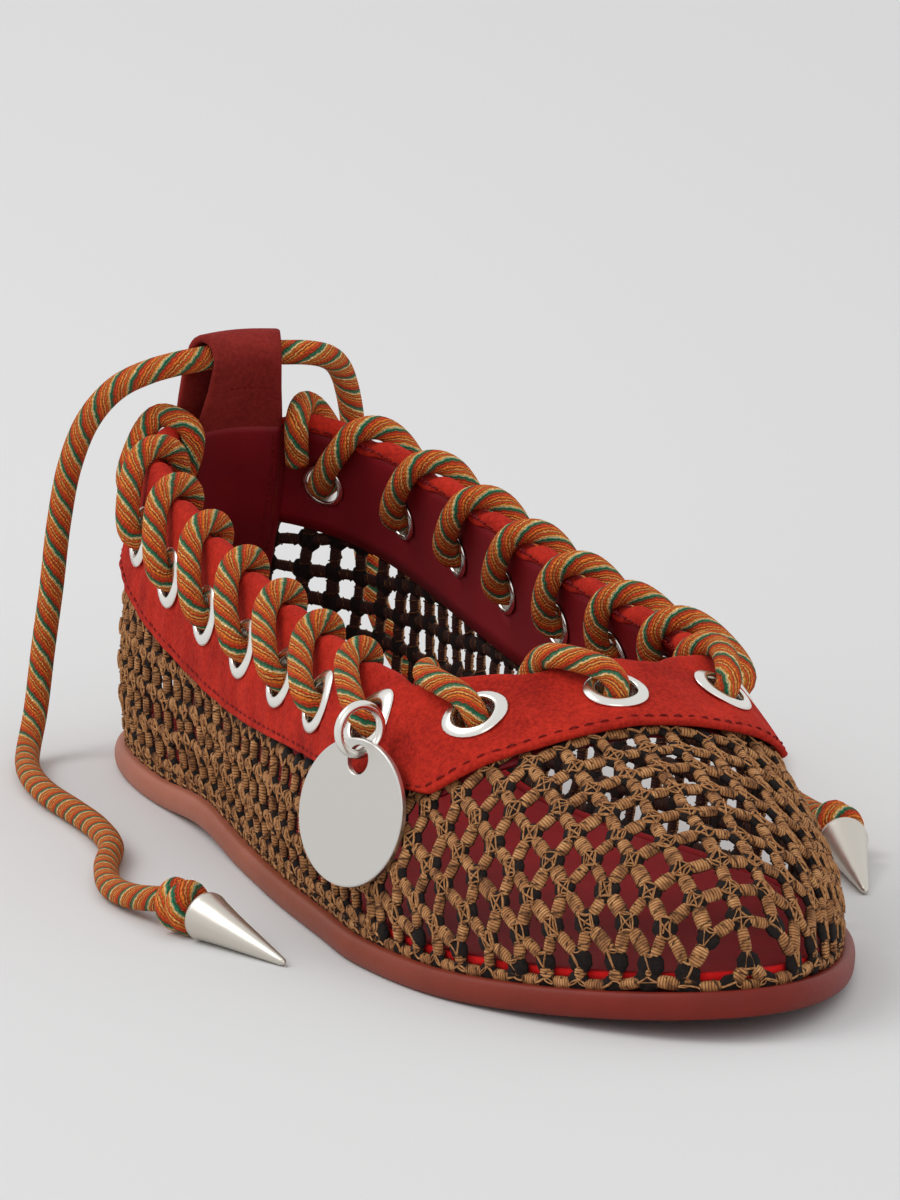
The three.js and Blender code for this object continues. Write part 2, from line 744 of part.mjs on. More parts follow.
function tie(points) {
  const curve = new THREE.CatmullRomCurve3(points.map((point) => new THREE.Vector3(...point)));
  return tube(curve, points.length - 1, tieDiameter, tieSides);
}

const shoe = new THREE.Group();

function add(name, geometry, material, parent = shoe) {
  const mesh = new THREE.Mesh(geometry, material);
  mesh.name = name;
  parent.add(mesh);
  return mesh;
}

const soleRows = soleSideRows.map((row) => ({
  inset: row.inset * soleLedge,
  height: row.height * soleThickness,
}));
add('outsole', slab(soleRows, soleBottom), soleLeather);

const insoleInset = soleLedge + upperWall + insoleGap;
const insoleRows = [
  { inset: insoleInset, height: seamGap },
  { inset: insoleInset, height: seamGap + insoleThickness },
];
add('insole', slab(insoleRows, soleTop), insoleLeather);

const bandBottom = (turn) => bandDepth * straightSteps(bandRows, 'depth', turn);
add('net_upper', bored(wall(0, upperWall, 0, wallLength, upperLevels)), knottedYarn);
add('collar_band', bored(wall(bandInside, bandOutside, 0, bandBottom, bandLevels)), suede);

eyeletTurns.forEach((turn, i) => {
  add(`eyelet_${String(i + 1).padStart(2, '0')}`, eyelet(turn), paleMetal);
});

const laced = new Route(laceRoute());
add('lace', tube(laced, laced.points.length - 1, laceDiameter, laceSides), braidedCord);
add('heel_tab', heelTab(), tabSuede);

add('jump_ring', jumpRing(), paleMetal);
add('charm', charm(), paleMetal);

for (const side of ['outer', 'inner']) {
  add(`tie_${side}`, tie(tieLines[side]), braidedCord);
  add(`tie_knot_${side}`, knot(side), braidedCord);
  add(`tie_cone_${side}`, cone(side), paleMetal);
}

export default shoe;
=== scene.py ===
"""Looks of the mesh ballet flat. Shapes are worked out in millimetres and made in metres."""
import math
import random

import bpy
import numpy as np
from mathutils import Matrix, Vector


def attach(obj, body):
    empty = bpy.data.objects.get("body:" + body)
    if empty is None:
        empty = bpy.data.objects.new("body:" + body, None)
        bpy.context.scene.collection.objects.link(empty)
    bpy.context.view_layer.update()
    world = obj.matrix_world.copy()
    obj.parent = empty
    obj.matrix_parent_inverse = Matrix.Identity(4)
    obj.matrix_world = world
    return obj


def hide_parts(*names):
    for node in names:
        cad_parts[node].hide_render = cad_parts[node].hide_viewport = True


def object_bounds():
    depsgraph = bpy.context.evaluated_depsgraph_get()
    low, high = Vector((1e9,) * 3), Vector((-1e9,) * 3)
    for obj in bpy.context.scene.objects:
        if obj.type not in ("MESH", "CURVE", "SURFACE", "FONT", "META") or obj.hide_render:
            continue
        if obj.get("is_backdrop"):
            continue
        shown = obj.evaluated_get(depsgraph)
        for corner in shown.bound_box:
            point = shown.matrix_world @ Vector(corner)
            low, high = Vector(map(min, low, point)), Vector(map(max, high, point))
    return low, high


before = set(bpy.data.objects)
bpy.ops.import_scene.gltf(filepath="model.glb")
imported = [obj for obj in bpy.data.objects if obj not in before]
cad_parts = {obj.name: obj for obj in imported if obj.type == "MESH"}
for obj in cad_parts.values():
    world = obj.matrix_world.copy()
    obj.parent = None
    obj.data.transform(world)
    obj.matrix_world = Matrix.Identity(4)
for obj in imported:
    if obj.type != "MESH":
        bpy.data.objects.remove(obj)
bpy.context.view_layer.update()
MM = 0.001

# Sizes, in millimetres, as in the CAD
SOLE_LENGTH = 250
BALL_WIDTH = 82
SOLE_THICKNESS = 4.7
TOE_SPRING = 4
ARCH_RISE = 1.5
SOLE_LEDGE = 2.2
UPPER_WALL = 1.5
INSOLE_THICKNESS = 2.5
INSOLE_GAP = 1.3
HEEL_HEIGHT = 61
SIDE_HEIGHT = 44.8
THROAT_HEIGHT = 47.5
COLLAR_LENGTH = 160.5
COLLAR_WIDTH = 54
HEEL_LEAN = 21
WALL_BULGE = 3
BAND_INSIDE = 1.95
BAND_OUTSIDE = 3.35
BAND_DEPTH = 25
SEAM_GAP = 0.3
EYELET_COUNT = 19
EYELET_HOLE = 3.3
EYELET_FLANGE = 5.3
EYELET_DEPTH = 12
THROAT_EYELET_DEPTH = 10.5
FIRST_EYELET = 16
LACE_DIAMETER = 4.3
TAB_WIDTH = 17.5
TAB_WALL = 1.4
TAB_RISE = 17
TAB_INNER_DROP = 27
TAB_OUTER_DROP = 20
CHARM_RADIUS = 12.5
CHARM_WALL = 1.2
CHARM_HOLE = 2.5
CHARM_INSET = 3.6
RING_RADIUS = 4.2
RING_WIRE = 0.8
CHARM_EYELET = 7
TIE_DIAMETER = 4.4
KNOT_LENGTH = 11
CONE_LENGTH = 24
CONE_RADIUS = 4.25
ARCH_START = 0.2
ARCH_END = 0.43
SPRING_START = 0.78

# Share of the length from the heel, then half widths on the outer and the inner side
OUTLINE = [
    (0, 0, 0), (0.03, 0.36, 0.36), (0.08, 0.56, 0.58), (0.16, 0.67, 0.69),
    (0.28, 0.715, 0.69), (0.4, 0.8, 0.68), (0.52, 0.9, 0.77), (0.62, 0.96, 0.9),
    (0.7, 1, 0.98), (0.8, 0.925, 0.95), (0.88, 0.735, 0.76), (0.94, 0.52, 0.54),
    (0.98, 0.3, 0.31), (1, 0, 0),
]
# Turn, share of the collar's length, half width, heel share and throat share of the height
COLLAR = [
    (0, 0, 0, 1, 0), (0.06, 0.008, 0.24, 0.99, 0), (0.12, 0.03, 0.47, 0.96, 0),
    (0.2, 0.094, 0.69, 0.86, 0), (0.3, 0.225, 0.845, 0.66, 0), (0.4, 0.38, 0.91, 0.44, 0),
    (0.5, 0.535, 0.945, 0.26, 0), (0.6, 0.68, 0.975, 0.13, 0), (0.7, 0.81, 1, 0.05, 0),
    (0.78, 0.89, 0.95, 0, 0.02), (0.85, 0.944, 0.81, 0, 0.1), (0.91, 0.975, 0.57, 0, 0.4),
    (0.96, 0.994, 0.28, 0, 0.85), (1, 1, 0, 0, 1),
]
# Turn, rise, drop, bulge and lean of the wall
WALL = [
    (0, 0.38, 0.34, 1, 0.1), (0.2, 0.38, 0.34, 1, 0.07), (0.4, 0.38, 0.36, 1, 0.05),
    (0.6, 0.38, 0.36, 1, 0.08), (0.7, 0.4, 0.36, 0.9, 0.15), (0.78, 0.42, 0.36, 0.8, 0.16),
    (0.85, 0.44, 0.34, 0.7, 0.24), (0.92, 0.46, 0.31, 0.6, 0.34), (1, 0.48, 0.29, 0.6, 0.42),
]
BAND = [(0, 0.84), (0.3, 0.98), (0.6, 1), (0.8, 1.1), (0.88, 0.9), (1, 0.8)]
# Inset as a share of the ledge, height as a share of the thickness
SOLE_SIDE = [
    (0.9, 0), (0.5, 0.015), (0.25, 0.09), (0.1, 0.22), (0.02, 0.38), (0, 0.52), (0.04, 0.68),
    (0.13, 0.83), (0.27, 0.95), (0.4, 1), (0.8, 1), (1.6, 0.985),
]


def srgb(r, g, b):
    """A colour given as 0 to 255, in the linear values that shaders take."""
    return tuple((c / 255 / 12.92) if c < 11 else ((c / 255 + 0.055) / 1.055) ** 2.4 for c in (r, g, b)) + (1,)


# ---- Camera, from the fit to the sole, collar and eyelets ----
AZIMUTH = math.radians(-22.6)
ELEVATION = math.radians(12.27)
ROLL = math.radians(-0.298)
DISTANCE = 2304.9
FOCAL_PIXELS = 13459
SHIFT_PIXELS = (10.16, 108.05)
PHOTO_HEIGHT = 1200
SENSOR = 36


def make_camera():
    back = Vector((math.sin(AZIMUTH) * math.cos(ELEVATION),
                   -math.cos(AZIMUTH) * math.cos(ELEVATION), math.sin(ELEVATION)))
    level = Vector((math.cos(AZIMUTH), math.sin(AZIMUTH), 0))
    up = back.cross(level)
    right = level * math.cos(ROLL) + up * math.sin(ROLL)
    top = up * math.cos(ROLL) - level * math.sin(ROLL)
    scale = FOCAL_PIXELS / DISTANCE
    place = Vector((0, 0, 30)) + back * DISTANCE
    place += -right * (SHIFT_PIXELS[0] / scale) + top * (SHIFT_PIXELS[1] / scale)
    data = bpy.data.cameras.new("camera")
    data.sensor_width = SENSOR
    data.lens = FOCAL_PIXELS / PHOTO_HEIGHT * SENSOR
    data.clip_start, data.clip_end = 0.05, 50
    camera = bpy.data.objects.new("camera", data)
    turned = Matrix((right, top, back)).transposed().to_4x4()
    camera.matrix_world = Matrix.Translation(place * MM) @ turned
    bpy.context.scene.collection.objects.link(camera)
    bpy.context.scene.camera = camera


make_camera()


# ---- The last's own shape ----
def closed_curve(turns, first, second):
    """A smooth closed curve through values over two half turns."""
    places = list(turns) + [2 - t for t in turns[-2:0:-1]]
    values = list(first) + list(second[-2:0:-1])
    places = np.array([p - 2 for p in places[-2:]] + places + [p + 2 for p in places[:3]])
    values = np.array(values[-2:] + values + values[:3], float)
    slopes = (values[2:] - values[:-2]) / (places[2:] - places[:-2])
    places, values = places[1:-1], values[1:-1]

    def curve(turn):
        turn = np.mod(turn, 2)
        i = np.clip(np.searchsorted(places, turn, side="right") - 1, 0, len(places) - 2)
        span = places[i + 1] - places[i]
        u = (turn - places[i]) / span
        start = values[i] * (1 + 2 * u) * (1 - u) ** 2 + slopes[i] * span * u * (1 - u) ** 2
        return start + values[i + 1] * u * u * (3 - 2 * u) - slopes[i + 1] * span * u * u * (1 - u)

    return curve


def column(rows, i):
    return [row[i] for row in rows]


def even_curve(rows, i):
    return closed_curve(column(rows, 0), column(rows, i), column(rows, i))


outline_turns = [math.acos(1 - 2 * row[0]) / math.pi for row in OUTLINE]
outline_width = closed_curve(outline_turns, [-row[1] for row in OUTLINE], column(OUTLINE, 2))
collar_side = closed_curve(column(COLLAR, 0), [-row[2] for row in COLLAR], column(COLLAR, 2))
collar_along, collar_heel, collar_throat = (even_curve(COLLAR, i) for i in (1, 3, 4))
wall_rise, wall_drop, wall_swell, wall_lean = (even_curve(WALL, i) for i in (1, 2, 3, 4))


def outline_point(turn):
    along = (1 - np.cos(np.pi * turn)) / 2
    return np.stack([outline_width(turn) * BALL_WIDTH / 2, SOLE_LENGTH * (0.5 - along)], -1)


def collar_point(turn):
    height = (SIDE_HEIGHT + (HEEL_HEIGHT - SIDE_HEIGHT) * collar_heel(turn)
              + (THROAT_HEIGHT - SIDE_HEIGHT) * collar_throat(turn))
    y = SOLE_LENGTH / 2 - HEEL_LEAN - COLLAR_LENGTH * collar_along(turn)
    return np.stack([collar_side(turn) * COLLAR_WIDTH / 2, y, height], -1)


def outward(curve, turn):
    step = 0.002
    before, after = curve(turn - step), curve(turn + step)
    out = np.stack([after[..., 1] - before[..., 1], before[..., 0] - after[..., 0]], -1)
    return out / np.linalg.norm(out, axis=-1, keepdims=True)


def inset_outline(turn, inset):
    return outline_point(turn) - outward(outline_point, turn) * np.asarray(inset)[..., None]


def sole_bottom(y):
    along = np.clip(0.5 - y / SOLE_LENGTH, 0, 1)
    arch = ARCH_RISE * np.sin(np.pi * (along - ARCH_START) / (ARCH_END - ARCH_START)) ** 2
    spring = TOE_SPRING * (np.maximum(0, along - SPRING_START) / (1 - SPRING_START)) ** 1.8
    return np.where((along > ARCH_START) & (along < ARCH_END), arch, spring)


def sole_top(y):
    return sole_bottom(y) + SOLE_THICKNESS


def profile_ends(turn):
    foot = inset_outline(turn, SOLE_LEDGE + UPPER_WALL)
    feather = np.concatenate([foot, (sole_top(foot[..., 1]) + SEAM_GAP)[..., None]], -1)
    edge = collar_point(turn)
    height = (edge[..., 2] - feather[..., 2])[..., None]
    vamp = SOLE_LENGTH - HEEL_LEAN - COLLAR_LENGTH - SOLE_LEDGE - UPPER_WALL
    bulge = (WALL_BULGE * wall_swell(turn))[..., None]
    lean = (vamp * wall_lean(turn))[..., None]
    low = feather + np.concatenate(
        [outward(outline_point, turn) * bulge, height * wall_rise(turn)[..., None]], -1)
    high = edge + np.concatenate(
        [outward(collar_point, turn) * lean, -height * wall_drop(turn)[..., None]], -1)
    return np.stack([feather, low, high, edge], -2)


def bezier(ends, u):
    u = u[..., None]
    weights = ((1 - u) ** 3, 3 * u * (1 - u) ** 2, 3 * u * u * (1 - u), u ** 3)
    return sum(w * ends[..., i, :] for i, w in enumerate(weights))


STEPS = 24


def measured(turn):
    ends = profile_ends(turn)
    u = np.linspace(0, 1, STEPS + 1)
    points = bezier(ends[..., None, :, :], np.broadcast_to(u, ends.shape[:-2] + (STEPS + 1,)))
    lengths = np.linalg.norm(np.diff(points, axis=-2), axis=-1)
    return ends, np.concatenate([np.zeros(lengths.shape[:-1] + (1,)), np.cumsum(lengths, -1)], -1)


def wall_length(turn):
    return measured(np.asarray(turn, float))[1][..., -1]


def skin(turn, depth):
    """A point on the upper's inside face by turn and depth below the collar edge."""
    turn, depth = np.broadcast_arrays(np.asarray(turn, float), np.asarray(depth, float))
    shape = turn.shape
    turn, depth = turn.ravel(), depth.ravel()
    ends, run = measured(turn)
    total = run[:, -1]
    want = total * (1 - np.clip(depth / total, 0, 1))
    i = np.clip((run < want[:, None]).sum(1) - 1, 0, STEPS - 1)
    rows = np.arange(len(turn))
    u = (i + (want - run[rows, i]) / (run[rows, i + 1] - run[rows, i])) / STEPS
    points = bezier(ends, u)
    top = ends[:, 3] - ends[:, 2]
    top /= np.linalg.norm(top, axis=1, keepdims=True)
    points += top * np.maximum(0, -depth)[:, None]
    return points.reshape(shape + (3,))


def skin_frame(turn, depth):
    turn, depth = np.broadcast_arrays(np.asarray(turn, float), np.asarray(depth, float))
    turn_step, depth_step = 0.004, 0.4
    low = np.minimum(depth + depth_step, wall_length(turn))
    origin = skin(turn, depth)
    along = (skin(turn + turn_step, depth) - skin(turn - turn_step, depth)) / (2 * turn_step)
    down = (skin(turn, low) - skin(turn, low - 2 * depth_step)) / (2 * depth_step)
    out = np.cross(down, along)
    return origin, along, down, out / np.linalg.norm(out, axis=-1, keepdims=True)


def wall_point(turn, depth, offset):
    origin, _, _, out = skin_frame(turn, depth)
    return origin + out * np.asarray(offset, float)[..., None]


def band_depth(turn):
    half = np.mod(turn, 2)
    half = np.where(half <= 1, half, 2 - half)
    return BAND_DEPTH * np.interp(half, column(BAND, 0), column(BAND, 1))


edge_turns = np.linspace(0, 2, 721)
edge_points = collar_point(edge_turns)
edge_runs = np.concatenate([[0], np.cumsum(np.linalg.norm(np.diff(edge_points, axis=0), axis=1))])
EDGE_TOTAL = edge_runs[-1]
PITCH = (EDGE_TOTAL - 2 * FIRST_EYELET) / (EYELET_COUNT - 1)


def turn_at(run):
    """Turn at a run along the collar edge. Runs below 0 give turns below 0."""
    laps = np.floor(np.asarray(run, float) / EDGE_TOTAL)
    return np.interp(run - laps * EDGE_TOTAL, edge_runs, edge_turns) + 2 * laps


def eyelet_run(i):
    return FIRST_EYELET + i * PITCH


def hole_depth(turn):
    half = np.mod(turn, 2)
    half = np.where(half <= 1, half, 2 - half)
    x = np.clip((half - 0.6) / 0.28, 0, 1)
    return EYELET_DEPTH + x * x * (3 - 2 * x) * (THROAT_EYELET_DEPTH - EYELET_DEPTH)


def beside_eyelet(turn, across, down, offset):
    _, along, drop, _ = skin_frame(turn, hole_depth(turn))
    slant = (along * drop).sum(-1)
    level = along - drop * slant[..., None]
    level /= np.linalg.norm(level, axis=-1, keepdims=True)
    turn_step = across / (along * level).sum(-1)
    depth_step = down - turn_step * slant
    return wall_point(turn + turn_step, hole_depth(turn) + depth_step, offset)


# ---- Building meshes ----
class Pile:
    """Grids of points collected into one mesh, with a texture map and a named number."""

    def __init__(self, number=None):
        self.points, self.faces, self.maps, self.values = [], [], [], []
        self.count = 0
        self.number = number

    def grid(self, points, wrap=False, loop=False, uv=None, value=None, caps=False):
        """points is rows by columns by 3. wrap closes each row, loop closes the rows."""
        rows, cols = points.shape[:2]
        r = np.arange(rows if loop else rows - 1)
        c = np.arange(cols if wrap else cols - 1)
        r, c = (a.ravel() for a in np.meshgrid(r, c, indexing="ij"))
        r2, c2 = (r + 1) % rows, (c + 1) % cols
        self.faces += (self.count + np.stack(
            [r * cols + c, r * cols + c2, r2 * cols + c2, r2 * cols + c], 1)).tolist()
        if uv is None:
            uv = np.stack(np.meshgrid(np.linspace(0, 1, rows + 1), np.linspace(0, 1, cols + 1),
                                      indexing="ij"), -1)
        corner = np.stack([uv[r, c], uv[r, c + 1], uv[r + 1, c + 1], uv[r + 1, c]], 1)
        self.maps.append(corner.reshape(-1, 2))
        self.points.append(points.reshape(-1, 3))
        if self.number:
            if value is None:
                value = np.zeros((rows, cols))
            self.values.append(np.broadcast_to(value, (rows, cols)).ravel())
        if caps:
            for start, flip in ((0, True), ((rows - 1) * cols, False)):
                ring = [self.count + start + i for i in range(cols)]
                self.faces.append(ring[::-1] if flip else ring)
                self.maps.append(np.tile(corner[0, 0], (cols, 1)))
        self.count += rows * cols

    def make(self, name, material, slot, smooth=True):
        mesh = bpy.data.meshes.new(name)
        points = np.concatenate(self.points) * MM
        mesh.from_pydata(points.tolist(), [], self.faces)
        mesh.uv_layers.new(name="map").data.foreach_set(
            "uv", np.concatenate(self.maps).astype(np.float32).ravel())
        if self.number:
            mesh.attributes.new(self.number, "FLOAT", "POINT").data.foreach_set(
                "value", np.concatenate(self.values).astype(np.float32))
        mesh.polygons.foreach_set("use_smooth", [smooth] * len(mesh.polygons))
        mesh.materials.append(material)
        mesh.update()
        piece = bpy.data.objects.new(name, mesh)
        bpy.context.scene.collection.objects.link(piece)
        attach(piece, "root")
        return piece


def smooth_route(points, step):
    """A centripetal curve through the points, cut into even steps."""
    p = np.asarray(points, float)
    p = np.concatenate([[2 * p[0] - p[1]], p, [2 * p[-1] - p[-2]]])
    made = []
    for a, b, c, d in zip(p[:-3], p[1:-2], p[2:-1], p[3:]):
        t1 = np.linalg.norm(b - a) ** 0.5
        t2 = t1 + np.linalg.norm(c - b) ** 0.5
        t3 = t2 + np.linalg.norm(d - c) ** 0.5
        t = np.linspace(t1, t2, 13)[:-1, None]
        ab = (t1 - t) / t1 * a + t / t1 * b
        bc = (t2 - t) / (t2 - t1) * b + (t - t1) / (t2 - t1) * c
        cd = (t3 - t) / (t3 - t2) * c + (t - t2) / (t3 - t2) * d
        abc = (t2 - t) / t2 * ab + t / t2 * bc
        bcd = (t3 - t) / (t3 - t1) * bc + (t - t1) / (t3 - t1) * cd
        made.append((t2 - t) / (t2 - t1) * abc + (t - t1) / (t2 - t1) * bcd)
    made = np.concatenate(made + [p[-2:-1]])
    run = np.concatenate([[0], np.cumsum(np.linalg.norm(np.diff(made, axis=0), axis=1))])
    even = np.linspace(0, run[-1], max(2, int(run[-1] / step) + 1))
    return np.stack([np.interp(even, run, made[:, i]) for i in range(3)], 1), even


def tube_rings(line, radius, sides, start=None):
    """Rings round a line, turned as little as possible from one to the next."""
    tangent = np.gradient(line, axis=0)
    tangent /= np.linalg.norm(tangent, axis=1, keepdims=True)
    side = np.asarray(start if start is not None else (0.3, 0.2, 1.0), float)
    rings = []
    angles = np.linspace(0, 2 * np.pi, sides, endpoint=False)
    radii = np.broadcast_to(radius, (len(line),))
    for point, t, r in zip(line, tangent, radii):
        side = side - t * (side @ t)
        side /= np.linalg.norm(side)
        other = np.cross(t, side)
        rings.append(point + r * (np.cos(angles)[:, None] * side + np.sin(angles)[:, None] * other))
    return np.array(rings)


CORD_MAP = 10.0


def cord(pile, line, run, radius, sides=20, start=None):
    """A cord along the line. Its map is length over CORD_MAP millimetres by share of a turn."""
    rings = tube_rings(line, radius, sides, start)
    rings = np.concatenate([line[None, 0] + 0 * rings[:1], rings, line[None, -1] + 0 * rings[:1]])
    u = np.concatenate([[run[0]], run, [run[-1]], [run[-1]]]) / CORD_MAP
    uv = np.stack(np.meshgrid(u, np.linspace(0, 1, sides + 1), indexing="ij"), -1)
    pile.grid(rings, wrap=True, uv=uv)


# ---- Materials ----
def material(name, color, roughness, metallic=0.0):
    made = bpy.data.materials.new(name)
    made.use_nodes = True
    shader = made.node_tree.nodes["Principled BSDF"]
    shader.inputs["Base Color"].default_value = color
    shader.inputs["Roughness"].default_value = roughness
    shader.inputs["Metallic"].default_value = metallic
    return made, made.node_tree.nodes, made.node_tree.links, shader


def noise(nodes, links, scale, detail=4, roughness=0.6, source=None):
    node = nodes.new("ShaderNodeTexNoise")
    node.inputs["Scale"].default_value = scale
    node.inputs["Detail"].default_value = detail
    node.inputs["Roughness"].default_value = roughness
    if source is None:
        source = nodes.new("ShaderNodeTexCoord").outputs["Object"]
    links.new(source, node.inputs["Vector"])
    return node.outputs["Fac"]


def ramp(nodes, links, value, stops, step=False):
    node = nodes.new("ShaderNodeValToRGB")
    if step:
        node.color_ramp.interpolation = "CONSTANT"
    elements = node.color_ramp.elements
    elements[0].position, elements[0].color = stops[0]
    elements[1].position, elements[1].color = stops[-1]
    for place, color in stops[1:-1]:
        elements.new(place).color = color
    links.new(value, node.inputs["Fac"])
    return node.outputs["Color"]


def math_node(nodes, links, operation, *values):
    node = nodes.new("ShaderNodeMath")
    node.operation = operation
    for i, value in enumerate(values):
        if isinstance(value, (int, float)):
            node.inputs[i].default_value = value
        else:
            links.new(value, node.inputs[i])
    return node.outputs[0]


def mix(nodes, links, factor, a, b, blend="MIX"):
    node = nodes.new("ShaderNodeMix")
    node.data_type = "RGBA"
    node.blend_type = blend
    for socket, value in ((node.inputs[0], factor), (node.inputs[6], a), (node.inputs[7], b)):
        if isinstance(value, (int, float, tuple)):
            socket.default_value = value
        else:
            links.new(value, socket)
    return node.outputs[2]


def bump(nodes, links, shader, height, distance, strength=1.0):
    node = nodes.new("ShaderNodeBump")
    node.inputs["Distance"].default_value = distance
    node.inputs["Strength"].default_value = strength
    links.new(height, node.inputs["Height"])
    links.new(node.outputs["Normal"], shader.inputs["Normal"])


def suede(name, light, dark, sheen):
    made, nodes, links, shader = material(name, light, 0.95)
    fine = noise(nodes, links, 1400, 3, 0.7)
    broad = noise(nodes, links, 90, 4, 0.65)
    both = math_node(nodes, links, "ADD", math_node(nodes, links, "MULTIPLY", fine, 0.5),
                     math_node(nodes, links, "MULTIPLY", broad, 0.5))
    color = ramp(nodes, links, both, [(0.36, dark), (0.62, light)])
    links.new(color, shader.inputs["Base Color"])
    shader.inputs["Sheen Weight"].default_value = sheen
    shader.inputs["Sheen Roughness"].default_value = 0.45
    shader.inputs["Sheen Tint"].default_value = light
    shader.inputs["Specular IOR Level"].default_value = 0.15
    bump(nodes, links, shader, both, 0.0004, 0.7)
    return made


def leather(name, light, dark, roughness, grain=500, depth=0.00012, specular=0.35):
    made, nodes, links, shader = material(name, light, roughness)
    broad = noise(nodes, links, 60, 5, 0.6)
    fine = noise(nodes, links, grain, 4, 0.6)
    links.new(ramp(nodes, links, broad, [(0.35, dark), (0.65, light)]), shader.inputs["Base Color"])
    shader.inputs["Specular IOR Level"].default_value = specular
    bump(nodes, links, shader, fine, depth, 0.6)
    return made


def metal(name, color, roughness, scale=0, depth=0.0):
    made, nodes, links, shader = material(name, color, roughness, 1.0)
    if depth:
        bump(nodes, links, shader, noise(nodes, links, scale, 4, 0.6), depth, 0.5)
    return made


STRIPES = [
    (0.0, srgb(224, 118, 44)), (0.16, srgb(206, 66, 34)), (0.34, srgb(96, 48, 30)),
    (0.38, srgb(30, 116, 84)), (0.54, srgb(238, 220, 168)), (0.63, srgb(218, 140, 58)),
    (0.76, srgb(206, 72, 36)), (0.86, srgb(222, 160, 84)), (0.94, srgb(168, 62, 32)),
]


def striped_cord(name):
    """Yarn stripes in three starts round the cord, with a fine braid over them, painted darker in the grooves between
    yarns as shade and lighter on the ridges.
    """
    made, nodes, links, shader = material(name, STRIPES[0][1], 0.9)
    uv = nodes.new("ShaderNodeUVMap")
    uv.uv_map = "map"
    split = nodes.new("ShaderNodeSeparateXYZ")
    links.new(uv.outputs["UV"], split.inputs[0])
    along = math_node(nodes, links, "MULTIPLY", split.outputs[0], CORD_MAP / 4.8)
    around = math_node(nodes, links, "MULTIPLY", split.outputs[1], 3.0)
    warp = math_node(nodes, links, "MULTIPLY", noise(nodes, links, 1100, 2), 0.22)
    phase = math_node(nodes, links, "ADD", math_node(nodes, links, "ADD", along, around), warp)
    share = math_node(nodes, links, "FRACT", phase)
    stripes = ramp(nodes, links, share, STRIPES, step=True)
    yarns = math_node(nodes, links, "MULTIPLY", phase, 7 * 2 * math.pi)
    ridge = math_node(nodes, links, "ABSOLUTE", math_node(
        nodes, links, "SINE", math_node(nodes, links, "MULTIPLY", yarns, 0.5)))
    cross = math_node(nodes, links, "SUBTRACT",
                      math_node(nodes, links, "MULTIPLY", split.outputs[0], CORD_MAP / 0.9),
                      math_node(nodes, links, "MULTIPLY", split.outputs[1], 14.0))
    cross = math_node(nodes, links, "ABSOLUTE", math_node(
        nodes, links, "SINE", math_node(nodes, links, "MULTIPLY", cross, math.pi)))
    weave = math_node(nodes, links, "MULTIPLY", ridge,
                      math_node(nodes, links, "ADD", math_node(nodes, links, "MULTIPLY", cross, 0.5), 0.5))
    # Painted shade and light: the braid's grooves darken the stripe colours and its ridges lighten them, with a random
    # fuzz on top
    shade = math_node(nodes, links, "ADD", math_node(nodes, links, "MULTIPLY", weave, 0.7), 0.66)
    fuzz = noise(nodes, links, 2500, 2, 0.7)
    shade = math_node(nodes, links, "MULTIPLY", shade,
                      math_node(nodes, links, "ADD", math_node(nodes, links, "MULTIPLY", fuzz, 0.7), 0.65))
    braid_shade_grey = nodes.new("ShaderNodeCombineColor")
    for socket in braid_shade_grey.inputs:
        links.new(shade, socket)
    links.new(mix(nodes, links, 1.0, stripes, braid_shade_grey.outputs[0], "MULTIPLY"), shader.inputs["Base Color"])
    shader.inputs["Specular IOR Level"].default_value = 0.1
    shader.inputs["Sheen Weight"].default_value = 0.3
    shader.inputs["Sheen Tint"].default_value = srgb(230, 160, 110)
    bump(nodes, links, shader, weave, 0.0005, 0.9)
    return made


def wrapped_yarn(name):
    """Tan yarn wound tightly across each bar. The side towards the foot, and each end near a knot, are painted dark
    brown as shade.
    """
    made, nodes, links, shader = material(name, srgb(168, 118, 74), 0.85)
    uv = nodes.new("ShaderNodeUVMap")
    uv.uv_map = "map"
    split = nodes.new("ShaderNodeSeparateXYZ")
    links.new(uv.outputs["UV"], split.inputs[0])
    wave = math_node(nodes, links, "ABSOLUTE", math_node(
        nodes, links, "SINE", math_node(nodes, links, "MULTIPLY", split.outputs[0], math.pi / 0.5)))
    patch = noise(nodes, links, 420, 3, 0.6)
    tan = ramp(nodes, links, patch, [(0.3, srgb(110, 68, 40)), (0.5, srgb(178, 122, 74)), (0.7, srgb(212, 156, 102))])
    black = srgb(24, 16, 12)
    filled = math_node(nodes, links, "MINIMUM", 1.0, math_node(
        nodes, links, "ADD", math_node(nodes, links, "MULTIPLY", wave, 1.25), 0.08))
    tan = mix(nodes, links, filled, black, tan)
    # Painted shade: where the 'side' number is low (the side towards the foot and the ends near the knots) the tan
    # turns to a dark brown
    side = nodes.new("ShaderNodeAttribute")
    side.attribute_name = "side"
    blend = ramp(nodes, links, side.outputs["Fac"], [(0.38, (0, 0, 0, 1)), (0.56, (1, 1, 1, 1))])
    painted_shade_brown = mix(nodes, links, wave, srgb(16, 9, 7), srgb(66, 34, 26))
    links.new(mix(nodes, links, blend, painted_shade_brown, tan), shader.inputs["Base Color"])
    shader.inputs["Specular IOR Level"].default_value = 0.3
    bump(nodes, links, shader, wave, 0.00012, 0.6)
    return made


def plain_yarn(name, light, dark):
    made, nodes, links, shader = material(name, light, 0.85)
    links.new(ramp(nodes, links, noise(nodes, links, 1500, 3, 0.7), [(0.35, dark), (0.65, light)]),
              shader.inputs["Base Color"])
    shader.inputs["Specular IOR Level"].default_value = 0.25
    bump(nodes, links, shader, noise(nodes, links, 3000, 2, 0.7), 0.0003, 0.6)
    return made


